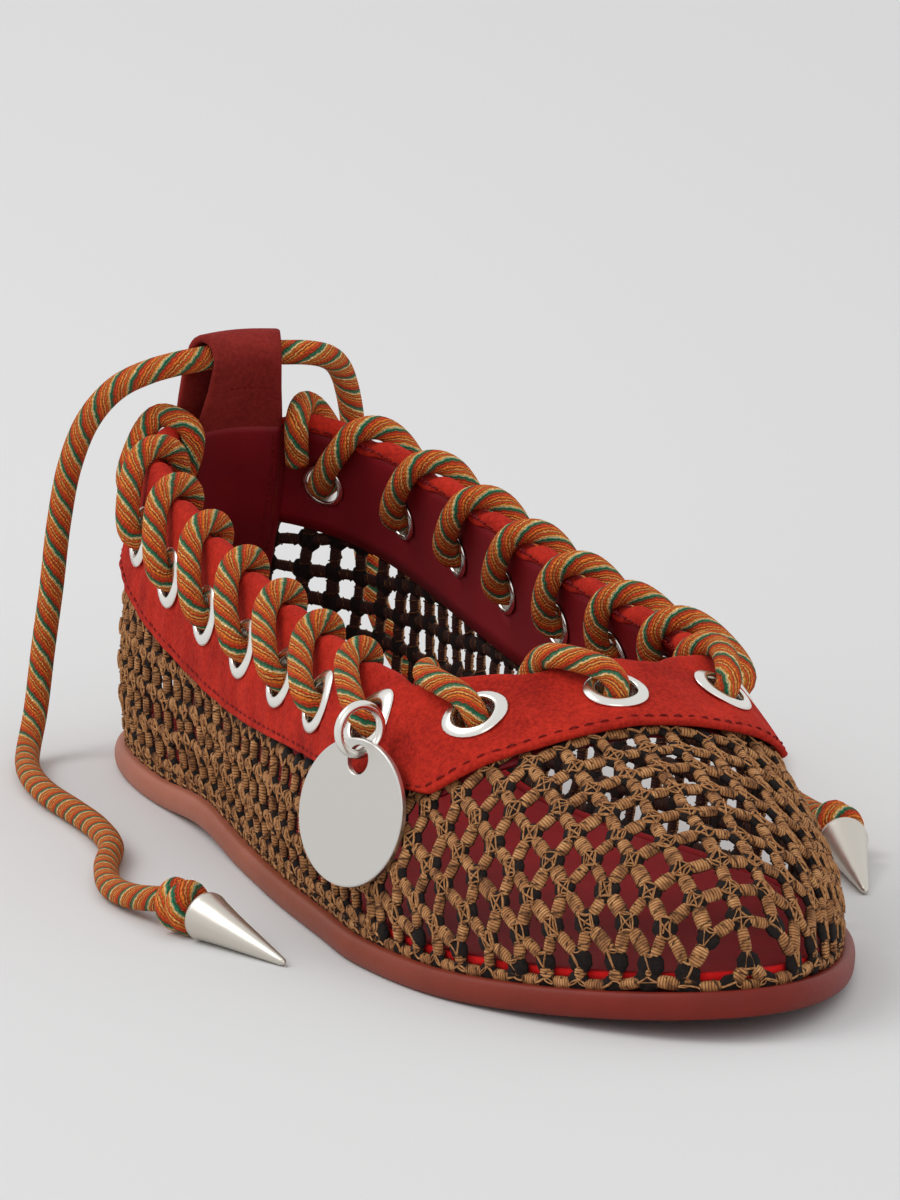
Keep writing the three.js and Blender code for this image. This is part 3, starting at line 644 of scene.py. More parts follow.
def sole_material():
    made, nodes, links, shader = material("sole_leather_look", srgb(134, 58, 46), 0.5)
    place = nodes.new("ShaderNodeTexCoord").outputs["Object"]
    split = nodes.new("ShaderNodeSeparateXYZ")
    links.new(place, split.inputs[0])
    # Painted light: the sole's colour runs from dark at the toe to light at the heel, as the light from behind the heel
    # falls on it
    length = math_node(nodes, links, "ADD", math_node(nodes, links, "MULTIPLY", split.outputs[1], 4), 0.5)
    base = ramp(nodes, links, length, [(0.05, srgb(128, 36, 24)), (0.5, srgb(150, 76, 50)), (0.95, srgb(190, 120, 98))])
    fine = noise(nodes, links, 500, 5, 0.7)
    broad = noise(nodes, links, 45, 4, 0.6)
    mottle = ramp(nodes, links, broad, [(0.35, (0.78, 0.76, 0.76, 1)), (0.65, (1, 1, 1, 1))])
    color = mix(nodes, links, 1.0, base, mottle, "MULTIPLY")
    links.new(color, shader.inputs["Base Color"])
    shader.inputs["Specular IOR Level"].default_value = 0.25
    bump(nodes, links, shader, fine, 0.0002, 0.5)
    return made


band_look = suede("band_suede_look", srgb(196, 46, 30), srgb(134, 22, 16), 0.2)
tab_look = suede("tab_suede_look", srgb(142, 44, 38), srgb(110, 28, 26), 0.25)
lining_look = leather("lining_look", srgb(138, 10, 26), srgb(122, 6, 20), 0.6, 700, 0.00005)
patch_look = leather("patch_look", srgb(134, 14, 26), srgb(112, 8, 20), 0.65, 500, 0.0001)
insole_look = leather("insole_look", srgb(152, 26, 30), srgb(134, 20, 26), 0.7, specular=0.2)
strip_look = suede("strip_look", srgb(214, 30, 30), srgb(186, 18, 20), 0.2)
sole_look = sole_material()
cord_look = striped_cord("cord_look")
bar_look = wrapped_yarn("bar_look")
knot_look = plain_yarn("knot_look", srgb(34, 24, 20), srgb(12, 8, 7))
thread_look = plain_yarn("thread_look", srgb(206, 152, 102), srgb(148, 96, 56))
wrap_look = plain_yarn("wrap_look", srgb(122, 80, 50), srgb(40, 24, 16))
stitch_look = plain_yarn("stitch_look", srgb(138, 24, 20), srgb(104, 16, 14))
eyelet_look = metal("eyelet_look", srgb(238, 236, 230), 0.22)
charm_look = metal("charm_look", srgb(214, 211, 206), 0.34, 900, 0.00002)
cone_look = metal("cone_look", srgb(214, 208, 198), 0.36, 260, 0.00015)


# ---- Sole and insole ----
AROUND = 200


def slab(name, rows, base, look, slot, node):
    turns = np.linspace(0, 2, AROUND, endpoint=False)
    rings = []
    for inset, height in rows:
        flat = inset_outline(turns, np.full(AROUND, inset))
        rings.append(np.stack([flat[:, 0], flat[:, 1], base(flat[:, 1]) + height], 1))
    pile = Pile()
    pile.grid(np.array(rings), wrap=True)
    half = AROUND // 2
    for ring in (rings[0], rings[-1]):
        left, right = ring[:half + 1], ring[np.r_[0, AROUND - 1:half - 1:-1]]
        share = np.linspace(0, 1, 9)[None, :, None]
        sheet = left[:, None] * (1 - share) + right[:, None] * share
        pile.grid(sheet)
    piece = pile.make(name, look, slot)
    clean(piece)
    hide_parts(node)
    return piece


def clean(piece):
    """Joins points that coincide and turns all faces outwards."""
    import bmesh
    made = bmesh.new()
    made.from_mesh(piece.data)
    bmesh.ops.remove_doubles(made, verts=made.verts, dist=0.00001)
    bmesh.ops.recalc_face_normals(made, faces=made.faces)
    made.to_mesh(piece.data)
    made.free()


sole_rows = [(inset * SOLE_LEDGE, height * SOLE_THICKNESS) for inset, height in SOLE_SIDE]
slab("sole", sole_rows, sole_bottom, sole_look, "sole_leather", "outsole")
inset = SOLE_LEDGE + UPPER_WALL + INSOLE_GAP
insole_rows = [(inset + 0.1, 0.3), (inset, 0.8), (inset, 2.0), (inset + 0.25, 2.5),
               (inset + 0.7, 2.8), (inset + 2, 2.8)]
slab("insole_sock", insole_rows, sole_top, insole_look, "insole_leather", "insole")

# ---- The net: lines across the foot and lines along it, as in a flat net pulled over a last ----
NET_PITCH = 6.2
NET_MIDDLE = 0.85
FINE = 61
fractions = np.linspace(0, 1, FINE)
fine_turns = np.linspace(0, 1, 401)
fine_lengths = wall_length(fine_turns)
fine_points = skin(fine_turns[:, None], fine_lengths[:, None] * fractions)
LOCK_START, LOCK_END = 45, 95


def half_line(sign, y, foot_turn, on_vamp):
    """A line up the wall, from its top to the feather: turns, depths and distance from the feather."""
    turns, depths = [], []
    if on_vamp:
        for turn in np.linspace(1, foot_turn, 90):
            i = np.interp(turn, fine_turns, np.arange(len(fine_turns)))
            low, part = int(min(i, len(fine_turns) - 2)), i - int(min(i, len(fine_turns) - 2))
            ys = fine_points[low, :, 1] * (1 - part) + fine_points[low + 1, :, 1] * part
            share = np.interp(-y, -ys, fractions)
            turns.append(turn)
            depths.append(share * np.interp(turn, fine_turns, fine_lengths))
    else:
        lock = np.clip((y - LOCK_START) / (LOCK_END - LOCK_START), 0, 1)
        for i, share in enumerate(fractions):
            turn = np.interp(-y, -fine_points[:, i, 1], fine_turns)
            turn = turn * (1 - lock) + foot_turn * lock
            turns.append(turn)
            depths.append(share * np.interp(turn, fine_turns, fine_lengths))
    turns, depths = np.array(turns), np.array(depths)
    real = turns if sign < 0 else 2 - turns
    points = wall_point(real, depths, np.zeros(len(turns)))
    steps = np.linalg.norm(np.diff(points, axis=0), axis=1)
    up = np.concatenate([[0], np.cumsum(steps[::-1])])[::-1]
    return real, depths, up


middle_length = fine_lengths[-1]
vamp_depths = np.arange(middle_length - 4.5, 0, -NET_PITCH)
vamp_ys = skin(np.ones(len(vamp_depths)), vamp_depths)[:, 1]
foot_runs = np.concatenate([[0], np.cumsum(np.linalg.norm(np.diff(fine_points[:, -1], axis=0), axis=1))])
start_run = np.interp(-(vamp_ys[-1]), -fine_points[:, -1, 1], foot_runs)
side_count = round(start_run / NET_PITCH)
side_runs = start_run - (np.arange(side_count) + 0.5) * start_run / side_count
side_foot = np.interp(side_runs, foot_runs, fine_turns)
side_ys = np.interp(side_foot, fine_turns, fine_points[:, -1, 1])

columns = []
for y in vamp_ys:
    foot = np.interp(-y, -fine_points[:, -1, 1], fine_turns)
    columns.append([half_line(sign, y, foot, True) for sign in (-1, 1)] + [True])
full_half = columns[-1][0][2][0]
for y, foot in zip(side_ys, side_foot):
    columns.append([half_line(sign, y, foot, False) for sign in (-1, 1)] + [False])

net_random = random.Random(7)
nodes_at = {}
node_list = []
feet = []
ROW_COUNT = 14


for number, (outer, inner, on_vamp) in enumerate(columns):
    for sign, line in ((-1, outer), (1, inner)):
        half = line[2][0] if on_vamp else full_half
        for row in range(ROW_COUNT):
            if on_vamp and row == 0 and sign > 0:
                continue
            distance = half - row * NET_PITCH
            if distance < 1.6 or distance > line[2][0] + 0.01:
                continue
            turn = float(np.interp(distance, line[2][::-1], line[0][::-1]))
            depth = float(np.interp(distance, line[2][::-1], line[1][::-1]))
            if depth < band_depth(turn) - 4.5:
                continue
            nodes_at[number, sign * row] = len(node_list)
            node_list.append((turn, depth))
        rows = [r for r in range(ROW_COUNT) if (number, sign * r) in nodes_at]
        if rows:
            feet.append((nodes_at[(number, sign * max(rows))], line))

edges = []
last = len(columns) - 1
for (number, row), index in nodes_at.items():
    step = 1 if row >= 0 else -1
    for other in ({row + 1, row - 1} if row == 0 else {row + step}):
        if (number, other) in nodes_at:
            edges.append((index, nodes_at[(number, other)]))
    if (number + 1, row) in nodes_at:
        edges.append((index, nodes_at[(number + 1, row)]))
    if number == last and row < 0 and (number, -row) in nodes_at:
        edges.append((index, nodes_at[(number, -row)]))
node_array = np.array(node_list)
node_array[:, 0] += [net_random.uniform(-0.0022, 0.0022) for _ in node_list]
node_array[:, 1] += [net_random.uniform(-0.6, 0.6) for _ in node_list]
foot_array = np.array([(line[0][-1], line[1][-1] - 0.4) for _, line in feet])
for number, (index, _) in enumerate(feet):
    edges.append((index, len(node_list) + number))
in_turn = np.argsort(foot_array[:, 0])
for a, b in zip(in_turn, np.roll(in_turn, -1)):
    edges.append((len(node_list) + a, len(node_list) + b))
all_nodes = np.concatenate([node_array, foot_array])
print("net nodes", len(node_list), "bars", len(edges))

# Bars
edges = np.array(edges)
first, second = all_nodes[edges[:, 0]], all_nodes[edges[:, 1]].copy()
wrapped = np.abs(second[:, 0] - first[:, 0]) > 1
second[wrapped, 0] += np.where(second[wrapped, 0] < first[wrapped, 0], 2, -2)
BAR_RINGS, BAR_SIDES = 7, 8
BAR_START = 0.17
share = np.linspace(BAR_START, 1 - BAR_START, BAR_RINGS)[None, :]
bar_turn = first[:, :1] * (1 - share) + second[:, :1] * share
bar_depth = first[:, 1:] * (1 - share) + second[:, 1:] * share
origin, _, _, bar_out = skin_frame(bar_turn, bar_depth)
bar_line = origin + bar_out * NET_MIDDLE
bar_way = np.gradient(bar_line, axis=1)
bar_way /= np.linalg.norm(bar_way, axis=-1, keepdims=True)
bar_side = np.cross(bar_out, bar_way)
bar_length = np.linalg.norm(bar_line[:, -1] - bar_line[:, 0], axis=1)
angles = np.linspace(0, 2 * np.pi, BAR_SIDES, endpoint=False)
bars = Pile("side")
wraps = Pile()
swell = np.array([0.7, 0.94, 1, 1.02, 1, 0.94, 0.7])
# Painted light along each bar: full in the middle, little at the ends near the knots, which are painted as shade
painted_light_along_bar = np.array([0.1, 0.9, 1, 1, 1, 0.9, 0.1])
for i in range(len(edges)):
    across, through = net_random.uniform(1.0, 1.4), net_random.uniform(0.7, 0.9)
    wide, thick = across * swell[:, None, None], through * swell[:, None, None]
    along_bar = np.linspace(0.08, 0.92, 9)
    wound = net_random.uniform(0, 6) + along_bar * net_random.uniform(9, 15)
    core = np.stack([np.interp(along_bar, np.linspace(0, 1, BAR_RINGS), bar_line[i, :, k]) for k in range(3)], 1)
    core = (core + bar_side[i, 3] * (1.1 * across * np.cos(wound))[:, None]
            + bar_out[i, 3] * (1.1 * through * np.sin(wound))[:, None])
    wraps.grid(tube_rings(core, 0.17, 3, bar_out[i, 3]), wrap=True)
    ring = (bar_line[i][:, None] + bar_side[i][:, None] * np.cos(angles)[None, :, None] * wide
            + bar_out[i][:, None] * np.sin(angles)[None, :, None] * thick)
    shift = net_random.uniform(0, 9)
    u = np.append(shift + np.linspace(0, bar_length[i], BAR_RINGS), 0)
    uv = np.stack(np.meshgrid(u, np.linspace(0, 1, BAR_SIDES + 1), indexing="ij"), -1)
    # The 'side' number is high on the outward face and low towards the foot, times the painted light along the bar;
    # where it is low the yarn is painted as shade
    bars.grid(ring, wrap=True, uv=uv, value=(np.sin(angles)[None] * 0.5 + 0.5) * painted_light_along_bar[:, None])
net_bars = bars.make("net_bars", bar_look, "net_yarn")
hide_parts("net_upper")

# Knots, and the threads that go round and over each from bar to bar
origin, along, down, out = skin_frame(all_nodes[:, 0], all_nodes[:, 1])
down /= np.linalg.norm(down, axis=1, keepdims=True)
level = np.cross(out, down)
GRIP = 0.26
grip = np.array([[GRIP, 1 - GRIP]])
grip_points, _, _, grip_out = skin_frame(first[:, :1] * (1 - grip) + second[:, :1] * grip,
                                         first[:, 1:] * (1 - grip) + second[:, 1:] * grip)
grip_points = grip_points + grip_out * NET_MIDDLE
grips = [[] for _ in all_nodes]
for i, (a, b) in enumerate(edges):
    grips[a].append(grip_points[i, 0])
    grips[b].append(grip_points[i, 1])
knots, threads = Pile(), Pile()
KNOT_RADIUS = 2.3
latitudes = np.linspace(-1.45, 1.45, 6)
turns8 = np.linspace(0, 2 * np.pi, 9, endpoint=False)
bow = np.linspace(0, 1, 5)[:, None]


def thread(start, control, stop, lift, out_way):
    line = start * (1 - bow) ** 2 + control * 2 * bow * (1 - bow) + stop * bow ** 2
    line = line + out_way * lift
    threads.grid(tube_rings(line, net_random.uniform(0.14, 0.24), 3, out_way), wrap=True)


for i in range(len(all_nodes)):
    centre = origin[i] + out[i] * NET_MIDDLE
    size = KNOT_RADIUS * net_random.uniform(0.88, 1.1)
    flat = size * np.cos(latitudes)[:, None, None]
    spread = np.cos(turns8)[None, :, None] * level[i] + np.sin(turns8)[None, :, None] * down[i]
    height = out[i] * (0.8 * np.sin(latitudes))[:, None, None]
    knots.grid(centre + flat * spread + height, wrap=True, caps=True)
    bearing = [math.atan2((g - centre) @ down[i], (g - centre) @ level[i]) for g in grips[i]]
    order = np.argsort(bearing)
    count = len(order)
    for k in range(count):
        a, b = order[k], order[(k + 1) % count]
        if (bearing[b] - bearing[a]) % (2 * math.pi) > 2.8:
            continue
        for _ in range(2):
            pull = net_random.uniform(0.2, 1.6)
            control = centre * (1 - pull) + (grips[i][a] + grips[i][b]) / 2 * pull
            thread(grips[i][a], control, grips[i][b], net_random.uniform(0.6, 0.95), out[i])
    if count == 4:
        for a, b in ((order[0], order[2]), (order[1], order[3])):
            aside = level[i] * net_random.uniform(-0.7, 0.7) + down[i] * net_random.uniform(-0.7, 0.7)
            thread(grips[i][a] + aside, centre + out[i] * 0.5, grips[i][b] - aside,
                   net_random.uniform(0.65, 0.85), out[i])
net_knots = knots.make("net_knots", knot_look, "net_yarn")
net_threads = threads.make("net_threads", thread_look, "net_yarn")
wraps.make("net_wraps", wrap_look, "net_yarn")

# ---- Suede band: outside, over the edge and a short way down inside ----
BAND_AROUND = 380
band_turns = turn_at(np.linspace(0, EDGE_TOTAL, BAND_AROUND, endpoint=False))
band_runs = np.linspace(0, EDGE_TOTAL, BAND_AROUND, endpoint=False)
TOP_RISE, TOP_DIP, TURN_IN = 1.7, 1.8, 1.7
gather = 0.5 + 0.5 * np.cos(2 * np.pi * (band_runs - FIRST_EYELET) / PITCH - np.pi)


def over_edge_section(bottom):
    """Depth and offset of the band's outline, from its lower hem up, over and back."""
    rows = [(bottom - 0.1, 2.3), (bottom, 2.75), (bottom - 0.15, 3.2), (bottom - 0.6, 3.4),
            (bottom - 1.4, 3.22), (bottom - 2.2, 3.35)]
    rows += [(bottom + (2.0 - bottom) * s, 3.35) for s in np.linspace(0.22, 1, 8)]
    for a in np.linspace(0.25, math.pi - 0.25, 9):
        rows.append((1.2 - TOP_RISE * math.sin(a) * 1.15, 1.4 + 1.97 * math.cos(a)))
    rows += [(TURN_IN - 0.4, -0.62), (TURN_IN, -0.45), (TURN_IN, -0.1), (1.4, 0.0), (0.3, 1.0),
             (1.2, 1.95)]
    rows += [(bottom * s, 1.95) for s in (0.3, 0.6, 0.93)]
    return rows


band_rows = np.array([over_edge_section(b) for b in band_depth(band_turns)])
puff = 0.12 * np.sin(band_runs * 0.61) + 0.09 * np.sin(band_runs * 1.37 + 1)
depths = band_rows[:, :, 0].copy()
near_top = np.clip(1 - depths / 6, 0, 1)
depths += near_top * (TOP_DIP * gather ** 2)[:, None]
offsets = band_rows[:, :, 1] + np.clip((band_rows[:, :, 1] - 3) * 3, 0, 1) * puff[:, None]
rings = wall_point(band_turns[:, None], depths, offsets)
pile = Pile()
pile.grid(rings, wrap=True, loop=True)
band = pile.make("suede_band", band_look, "band_suede")
clean(band)
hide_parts("collar_band")

# Lining inside, down to just above the band's lower hem
lining_turns = band_turns
runs = np.where(band_runs > EDGE_TOTAL / 2, band_runs - EDGE_TOTAL, band_runs)
low = band_depth(lining_turns) - 0.4
rows = []
for share in np.linspace(0, 1, 9):
    rows.append(np.stack([1.3 + (low - 1.3) * share, np.full(BAND_AROUND, -0.28)], 1))
for offset in (0.0, 0.35):
    rows.append(np.stack([low - 0.05, np.full(BAND_AROUND, offset)], 1))
for share in np.linspace(0.875, 0, 8):
    rows.append(np.stack([1.3 + (low - 1.3) * share, np.full(BAND_AROUND, 0.35)], 1))
rows = np.array(rows).transpose(1, 0, 2)
pile = Pile()
pile.grid(wall_point(lining_turns[:, None], rows[..., 0], rows[..., 1]), wrap=True, loop=True)
lining = pile.make("collar_lining", lining_look, "band_suede")
clean(lining)

# Bright strip behind the lowest holes, where the upper meets the insole
strip_turns = np.linspace(0, 2, 240, endpoint=False)
strip_low = wall_length(strip_turns)
pile = Pile()
strip_rows = np.array([(2.5, -0.5), (2.65, -0.2), (2.5, 0.1), (0.2, 0.1), (0.2, -0.5)])
pile.grid(wall_point(strip_turns[:, None], strip_low[:, None] - strip_rows[None, :, 0],
                     np.broadcast_to(strip_rows[None, :, 1], (240, 5))), wrap=True, loop=True)
strip = pile.make("feather_strip", strip_look, "band_suede")
clean(strip)
pile = Pile()
back_rows = np.array([(2.7, -0.9), (2.8, -0.75), (2.7, -0.6), (0.2, -0.6), (0.2, -0.9)])
pile.grid(wall_point(strip_turns[:, None], strip_low[:, None] - back_rows[None, :, 0],
                     np.broadcast_to(back_rows[None, :, 1], (240, 5))), wrap=True, loop=True)
clean(pile.make("strip_back", insole_look, "insole_leather"))

# Holes through band and lining
eyelet_turns = turn_at(eyelet_run(np.arange(EYELET_COUNT)))
pile = Pile()
sides = np.linspace(0, 2 * np.pi, 20, endpoint=False)
for turn in eyelet_turns:
    rings = [beside_eyelet(np.full(20, turn), 3.85 * np.cos(sides), -3.85 * np.sin(sides), offset)
             for offset in (-4.0, 7.5)]
    pile.grid(np.array(rings), wrap=True, caps=True)
cutter = pile.make("cutter", band_look, "band_suede")
clean(cutter)
for target in (band, lining):
    cut = target.modifiers.new("holes", "BOOLEAN")
    cut.operation, cut.solver, cut.object = "DIFFERENCE", "EXACT", cutter
    with bpy.context.temp_override(object=target):
        bpy.ops.object.modifier_apply(modifier=cut.name)
    print(target.name, len(target.data.polygons), "faces")
bpy.data.objects.remove(cutter)


def stitches(pile, centres, ways, outs, length=1.7, radius=0.17):
    """Short threads lying on a surface, their ends going down into it."""
    x = np.linspace(-0.5, 0.5, 6)
    for centre, way, out_way in zip(centres, ways, outs):
        line = centre + way * (x * length)[:, None] + out_way * (0.12 - 1.6 * x ** 2)[:, None]
        pile.grid(tube_rings(line, radius, 6, out_way), wrap=True, caps=True)


def stitch_row(pile, turns, depths, offset):
    """Even stitches along a line on the wall."""
    line = wall_point(turns, depths, np.full(len(turns), offset))
    run = np.concatenate([[0], np.cumsum(np.linalg.norm(np.diff(line, axis=0), axis=1))])
    places = np.arange(1.4, run[-1] - 1, 2.7)
    t = np.interp(places, run, turns)
    d = np.interp(places, run, depths)
    _, _, _, out_way = skin_frame(t, d)
    centre = np.stack([np.interp(places, run, line[:, i]) for i in range(3)], 1)
    ahead = np.stack([np.interp(places + 0.5, run, line[:, i]) for i in range(3)], 1)
    way = ahead - centre
    way /= np.linalg.norm(way, axis=1, keepdims=True)
    stitches(pile, centre, way, out_way)


seam = Pile()
seam_turns = np.linspace(0, 2, 700)
stitch_row(seam, seam_turns, band_depth(seam_turns) - 1.7, BAND_OUTSIDE)
stitch_row(seam, seam_turns, np.full(700, TURN_IN - 0.9), -0.62)
hem = seam.make("band_stitches", stitch_look, "band_suede")

# ---- Eyelets ----
EYELET_ROWS = [
    (3.35, -1.1), (3.3, -0.4), (3.3, 3.4), (3.34, 3.95), (3.5, 4.22), (3.85, 4.32), (4.4, 4.2),
    (4.95, 3.98), (5.25, 3.78), (5.3, 3.6), (5.2, 3.47), (3.75, 3.45), (3.7, 3.2), (3.7, -0.5),
    (3.9, -0.45), (4.15, -0.5), (4.2, -0.65), (3.95, -0.85), (3.6, -0.95),
]
sides = np.linspace(0, 2 * np.pi, 32, endpoint=False)
for i, turn in enumerate(eyelet_turns):
    pile = Pile()
    rings = [beside_eyelet(np.full(32, turn), r * np.cos(sides), -r * np.sin(sides), offset)
             for r, offset in EYELET_ROWS]
    pile.grid(np.array(rings), wrap=True, loop=True)
    ring = pile.make(f"eyelet_metal_{i + 1:02d}", eyelet_look, "eyelet_metal")
    clean(ring)
    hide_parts(f"eyelet_{i + 1:02d}")

# ---- Lace ----
WALL_MIDDLE = BAND_OUTSIDE / 2
LACE_CLEAR = 0.6
LACE_STRAIGHT = WALL_MIDDLE + SEAM_GAP + 0.5 + LACE_CLEAR
LACE_BEND = 2.2
LACE_REACH = LACE_STRAIGHT + 1.35
LACE_TOP = 1.2


def lace_point(run, depth, side):
    return wall_point(turn_at(run), depth, WALL_MIDDLE + side)


def over_edge(start, end):
    def at(share):
        return start + share * (end - start)
    return [
        lace_point(at(0.04), hole_depth(turn_at(start)) - LACE_BEND, -LACE_REACH),
        lace_point(at(0.34), 1.5, -LACE_REACH + 0.4),
        lace_point(at(0.45), -LACE_TOP, -LACE_STRAIGHT + 1.3),
        lace_point(at(0.57), -LACE_TOP, LACE_STRAIGHT - 1.3),
        lace_point(at(0.68), 1.5, LACE_REACH - 0.4),
        lace_point(at(0.96), hole_depth(turn_at(end)) - LACE_BEND, LACE_REACH),
    ]


def through_hole(run, inwards):
    depth = hole_depth(turn_at(run))
    points = [lace_point(run, depth, LACE_STRAIGHT), lace_point(run, depth, -LACE_STRAIGHT)]
    return points if inwards else points[::-1]


def lace_end(hole, side):
    run = hole - side * 4
    depth = hole_depth(turn_at(hole))
    return [
        lace_point(run, 7, -LACE_REACH), lace_point(run, LACE_BEND - LACE_TOP, -LACE_REACH),
        lace_point(run, -LACE_TOP, -LACE_STRAIGHT), lace_point(run, -LACE_TOP, LACE_STRAIGHT),
        lace_point(run + side, LACE_BEND - LACE_TOP, LACE_REACH),
        lace_point(hole, depth - LACE_BEND, LACE_REACH),
    ]


middle = (EYELET_COUNT - 1) // 2
final = EYELET_COUNT - 1
route = lace_end(eyelet_run(0), 1) + through_hole(eyelet_run(0), True)
for i in range(middle):
    route += over_edge(eyelet_run(i), eyelet_run(i + 1)) + through_hole(eyelet_run(i + 1), True)
for share in (0.2, 0.8):
    route.append(lace_point(eyelet_run(middle + share), THROAT_EYELET_DEPTH, -LACE_REACH - LACE_CLEAR))
for i in range(middle + 1, final):
    route += through_hole(eyelet_run(i), False) + over_edge(eyelet_run(i + 1), eyelet_run(i))[::-1]
route += through_hole(eyelet_run(final), False) + lace_end(eyelet_run(final), -1)[::-1]
line, run = smooth_route(route, 0.9)
pile = Pile()
cord(pile, line, run, LACE_DIAMETER / 2)
lace = pile.make("lace_cord", cord_look, "cord")
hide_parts("lace")

# ---- Heel tab and the patch below it ----
TUNNEL_RADIUS = TIE_DIAMETER / 2 + 0.7
TUNNEL_DEPTH = TAB_WALL + TUNNEL_RADIUS - TAB_RISE


def tab_face(extra):
    inside, outside = -SEAM_GAP - extra, BAND_OUTSIDE + SEAM_GAP + extra
    radius = TUNNEL_RADIUS + extra
    rows = [(TAB_INNER_DROP * s, inside) for s in (1, 0.8, 0.6, 0.4, 0.2, 0)]
    rows += [(d, WALL_MIDDLE - w) for d, w in ((-4, 2.5 + extra), (-8, 2.9 + extra))]
    for a in np.linspace(0, math.pi, 15):
        rows.append((TUNNEL_DEPTH - radius * math.sin(a), WALL_MIDDLE - radius * math.cos(a)))
    rows += [(d, WALL_MIDDLE + w) for d, w in ((-8, 2.9 + extra), (-4, 2.5 + extra))]
    rows += [(TAB_OUTER_DROP * s, outside) for s in (0, 0.25, 0.5, 0.75, 1)]
    return rows


TAB_ACROSS = [(0, 0.55), (0.015, 0.85), (0.04, 1)] + [(s, 1) for s in np.linspace(0.1, 0.9, 9)] \
    + [(0.96, 1), (0.985, 0.85), (1, 0.55)]
face_in = np.array(tab_face(0))
face_out = np.array(tab_face(TAB_WALL))
centre_line = (face_in + face_out) / 2
rings, values = [], []
for share, thick in TAB_ACROSS:
    a = centre_line + (face_out - centre_line) * thick
    b = centre_line + (face_in - centre_line) * thick
    section = np.concatenate([a, b[::-1]])
    turn = turn_at((share - 0.5) * TAB_WIDTH)
    rings.append(wall_point(np.full(len(section), float(turn)), section[:, 0], section[:, 1]))
rings = np.array(rings)
pile = Pile()
pile.grid(rings, wrap=True)
count = len(face_in)
for end in (rings[0], rings[-1]):
    pile.grid(np.stack([end[:count], end[count:][::-1]], 1))
tab = pile.make("tab", tab_look, "tab_suede")
clean(tab)
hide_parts("heel_tab")


def wall_patch(name, look, slot, half_width, top, bottom, offset, thick):
    """A leather piece lying on the wall at the heel, with rounded edges."""
    shares = [0, 0.02, 0.06] + list(np.linspace(0.15, 0.85, 7)) + [0.94, 0.98, 1]
    swell = [0.1, 0.8, 1] + [1] * 7 + [1, 0.8, 0.1]
    grid_top, grid_low = [], []
    for share, s in zip(shares, swell):
        turn = float(turn_at((share - 0.5) * 2 * half_width))
        d = top + (bottom - top) * np.array([0, 0.01, 0.04, 0.2, 0.4, 0.6, 0.8, 0.96, 0.99, 1])
        t = thick * s * np.array([0.1, 0.8, 1, 1, 1, 1, 1, 1, 0.8, 0.1])
        grid_top.append(wall_point(np.full(10, turn), d, offset - t))
        grid_low.append(wall_point(np.full(10, turn), d, np.full(10, offset)))
    pile = Pile()
    pile.grid(np.array(grid_top))
    pile.grid(np.array(grid_low)[::-1])
    piece = pile.make(name, look, slot)
    clean(piece)
    return piece


wall_patch("heel_patch", patch_look, "band_suede", 9.6, 2.2, 50.5, -0.32, 0.9)
wall_patch("tab_facing", patch_look, "tab_suede", 8.4, 0.5, 27.2, -SEAM_GAP - TAB_WALL + 0.1, 0.5)
seam = Pile()
down_rows = np.linspace(1.5, 26.5, 40)
for side in (-1, 1):
    turn = float(turn_at(side * 7.3))
    stitch_row(seam, np.full(40, turn), down_rows, -SEAM_GAP - TAB_WALL - 0.42)
    turn = float(turn_at(side * 7.6))
    stitch_row(seam, np.full(40, turn), np.linspace(1, 19, 40), BAND_OUTSIDE + SEAM_GAP + TAB_WALL)
across = turn_at(np.linspace(-7, 7, 20))
stitch_row(seam, across, np.full(20, 18.4), BAND_OUTSIDE + SEAM_GAP + TAB_WALL)
stitch_row(seam, across, np.full(20, 26), -SEAM_GAP - TAB_WALL - 0.42)
stitch_row(seam, across, np.full(20, -8.2), WALL_MIDDLE - 2.9 - TAB_WALL)
seam.make("tab_stitches", stitch_look, "tab_suede")

# ---- Charm on its ring ----
charm_turn = eyelet_turns[CHARM_EYELET]
RING_ACROSS = (LACE_DIAMETER + 2 * RING_WIRE) / 2 + SEAM_GAP
RING_OUT = LACE_STRAIGHT + 5 + SEAM_GAP
RING_DOWN = 7.5
CHARM_DROP = RING_RADIUS + CHARM_HOLE - RING_WIRE - 2.5 * SEAM_GAP
CHARM_TWIST = math.radians(9)
CHARM_TILT = 0.21

_, _, _, out_way = skin_frame(np.array([charm_turn]), hole_depth(charm_turn))
out_way = out_way[0]
centre = beside_eyelet(np.array([charm_turn]), RING_ACROSS, RING_DOWN,
                       np.array([WALL_MIDDLE + RING_OUT]))[0]
ring_out = np.array([out_way[0], out_way[1], 0]) / np.hypot(out_way[0], out_way[1])
ring_down = np.array([0, 0, -1.0])
angles = np.linspace(0, 2 * np.pi, 64, endpoint=False)
loop_line = centre + RING_RADIUS * (np.cos(angles)[:, None] * ring_out + np.sin(angles)[:, None] * ring_down)
axis = np.cross(ring_out, ring_down)
small = np.linspace(0, 2 * np.pi, 12, endpoint=False)
rings = np.array([
    point + RING_WIRE * (np.cos(small)[:, None] * (point - centre) / RING_RADIUS + np.sin(small)[:, None] * axis)
    for point in loop_line])
pile = Pile()
pile.grid(rings, wrap=True, loop=True)
ring = pile.make("charm_ring", eyelet_look, "eyelet_metal")
clean(ring)
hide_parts("jump_ring")

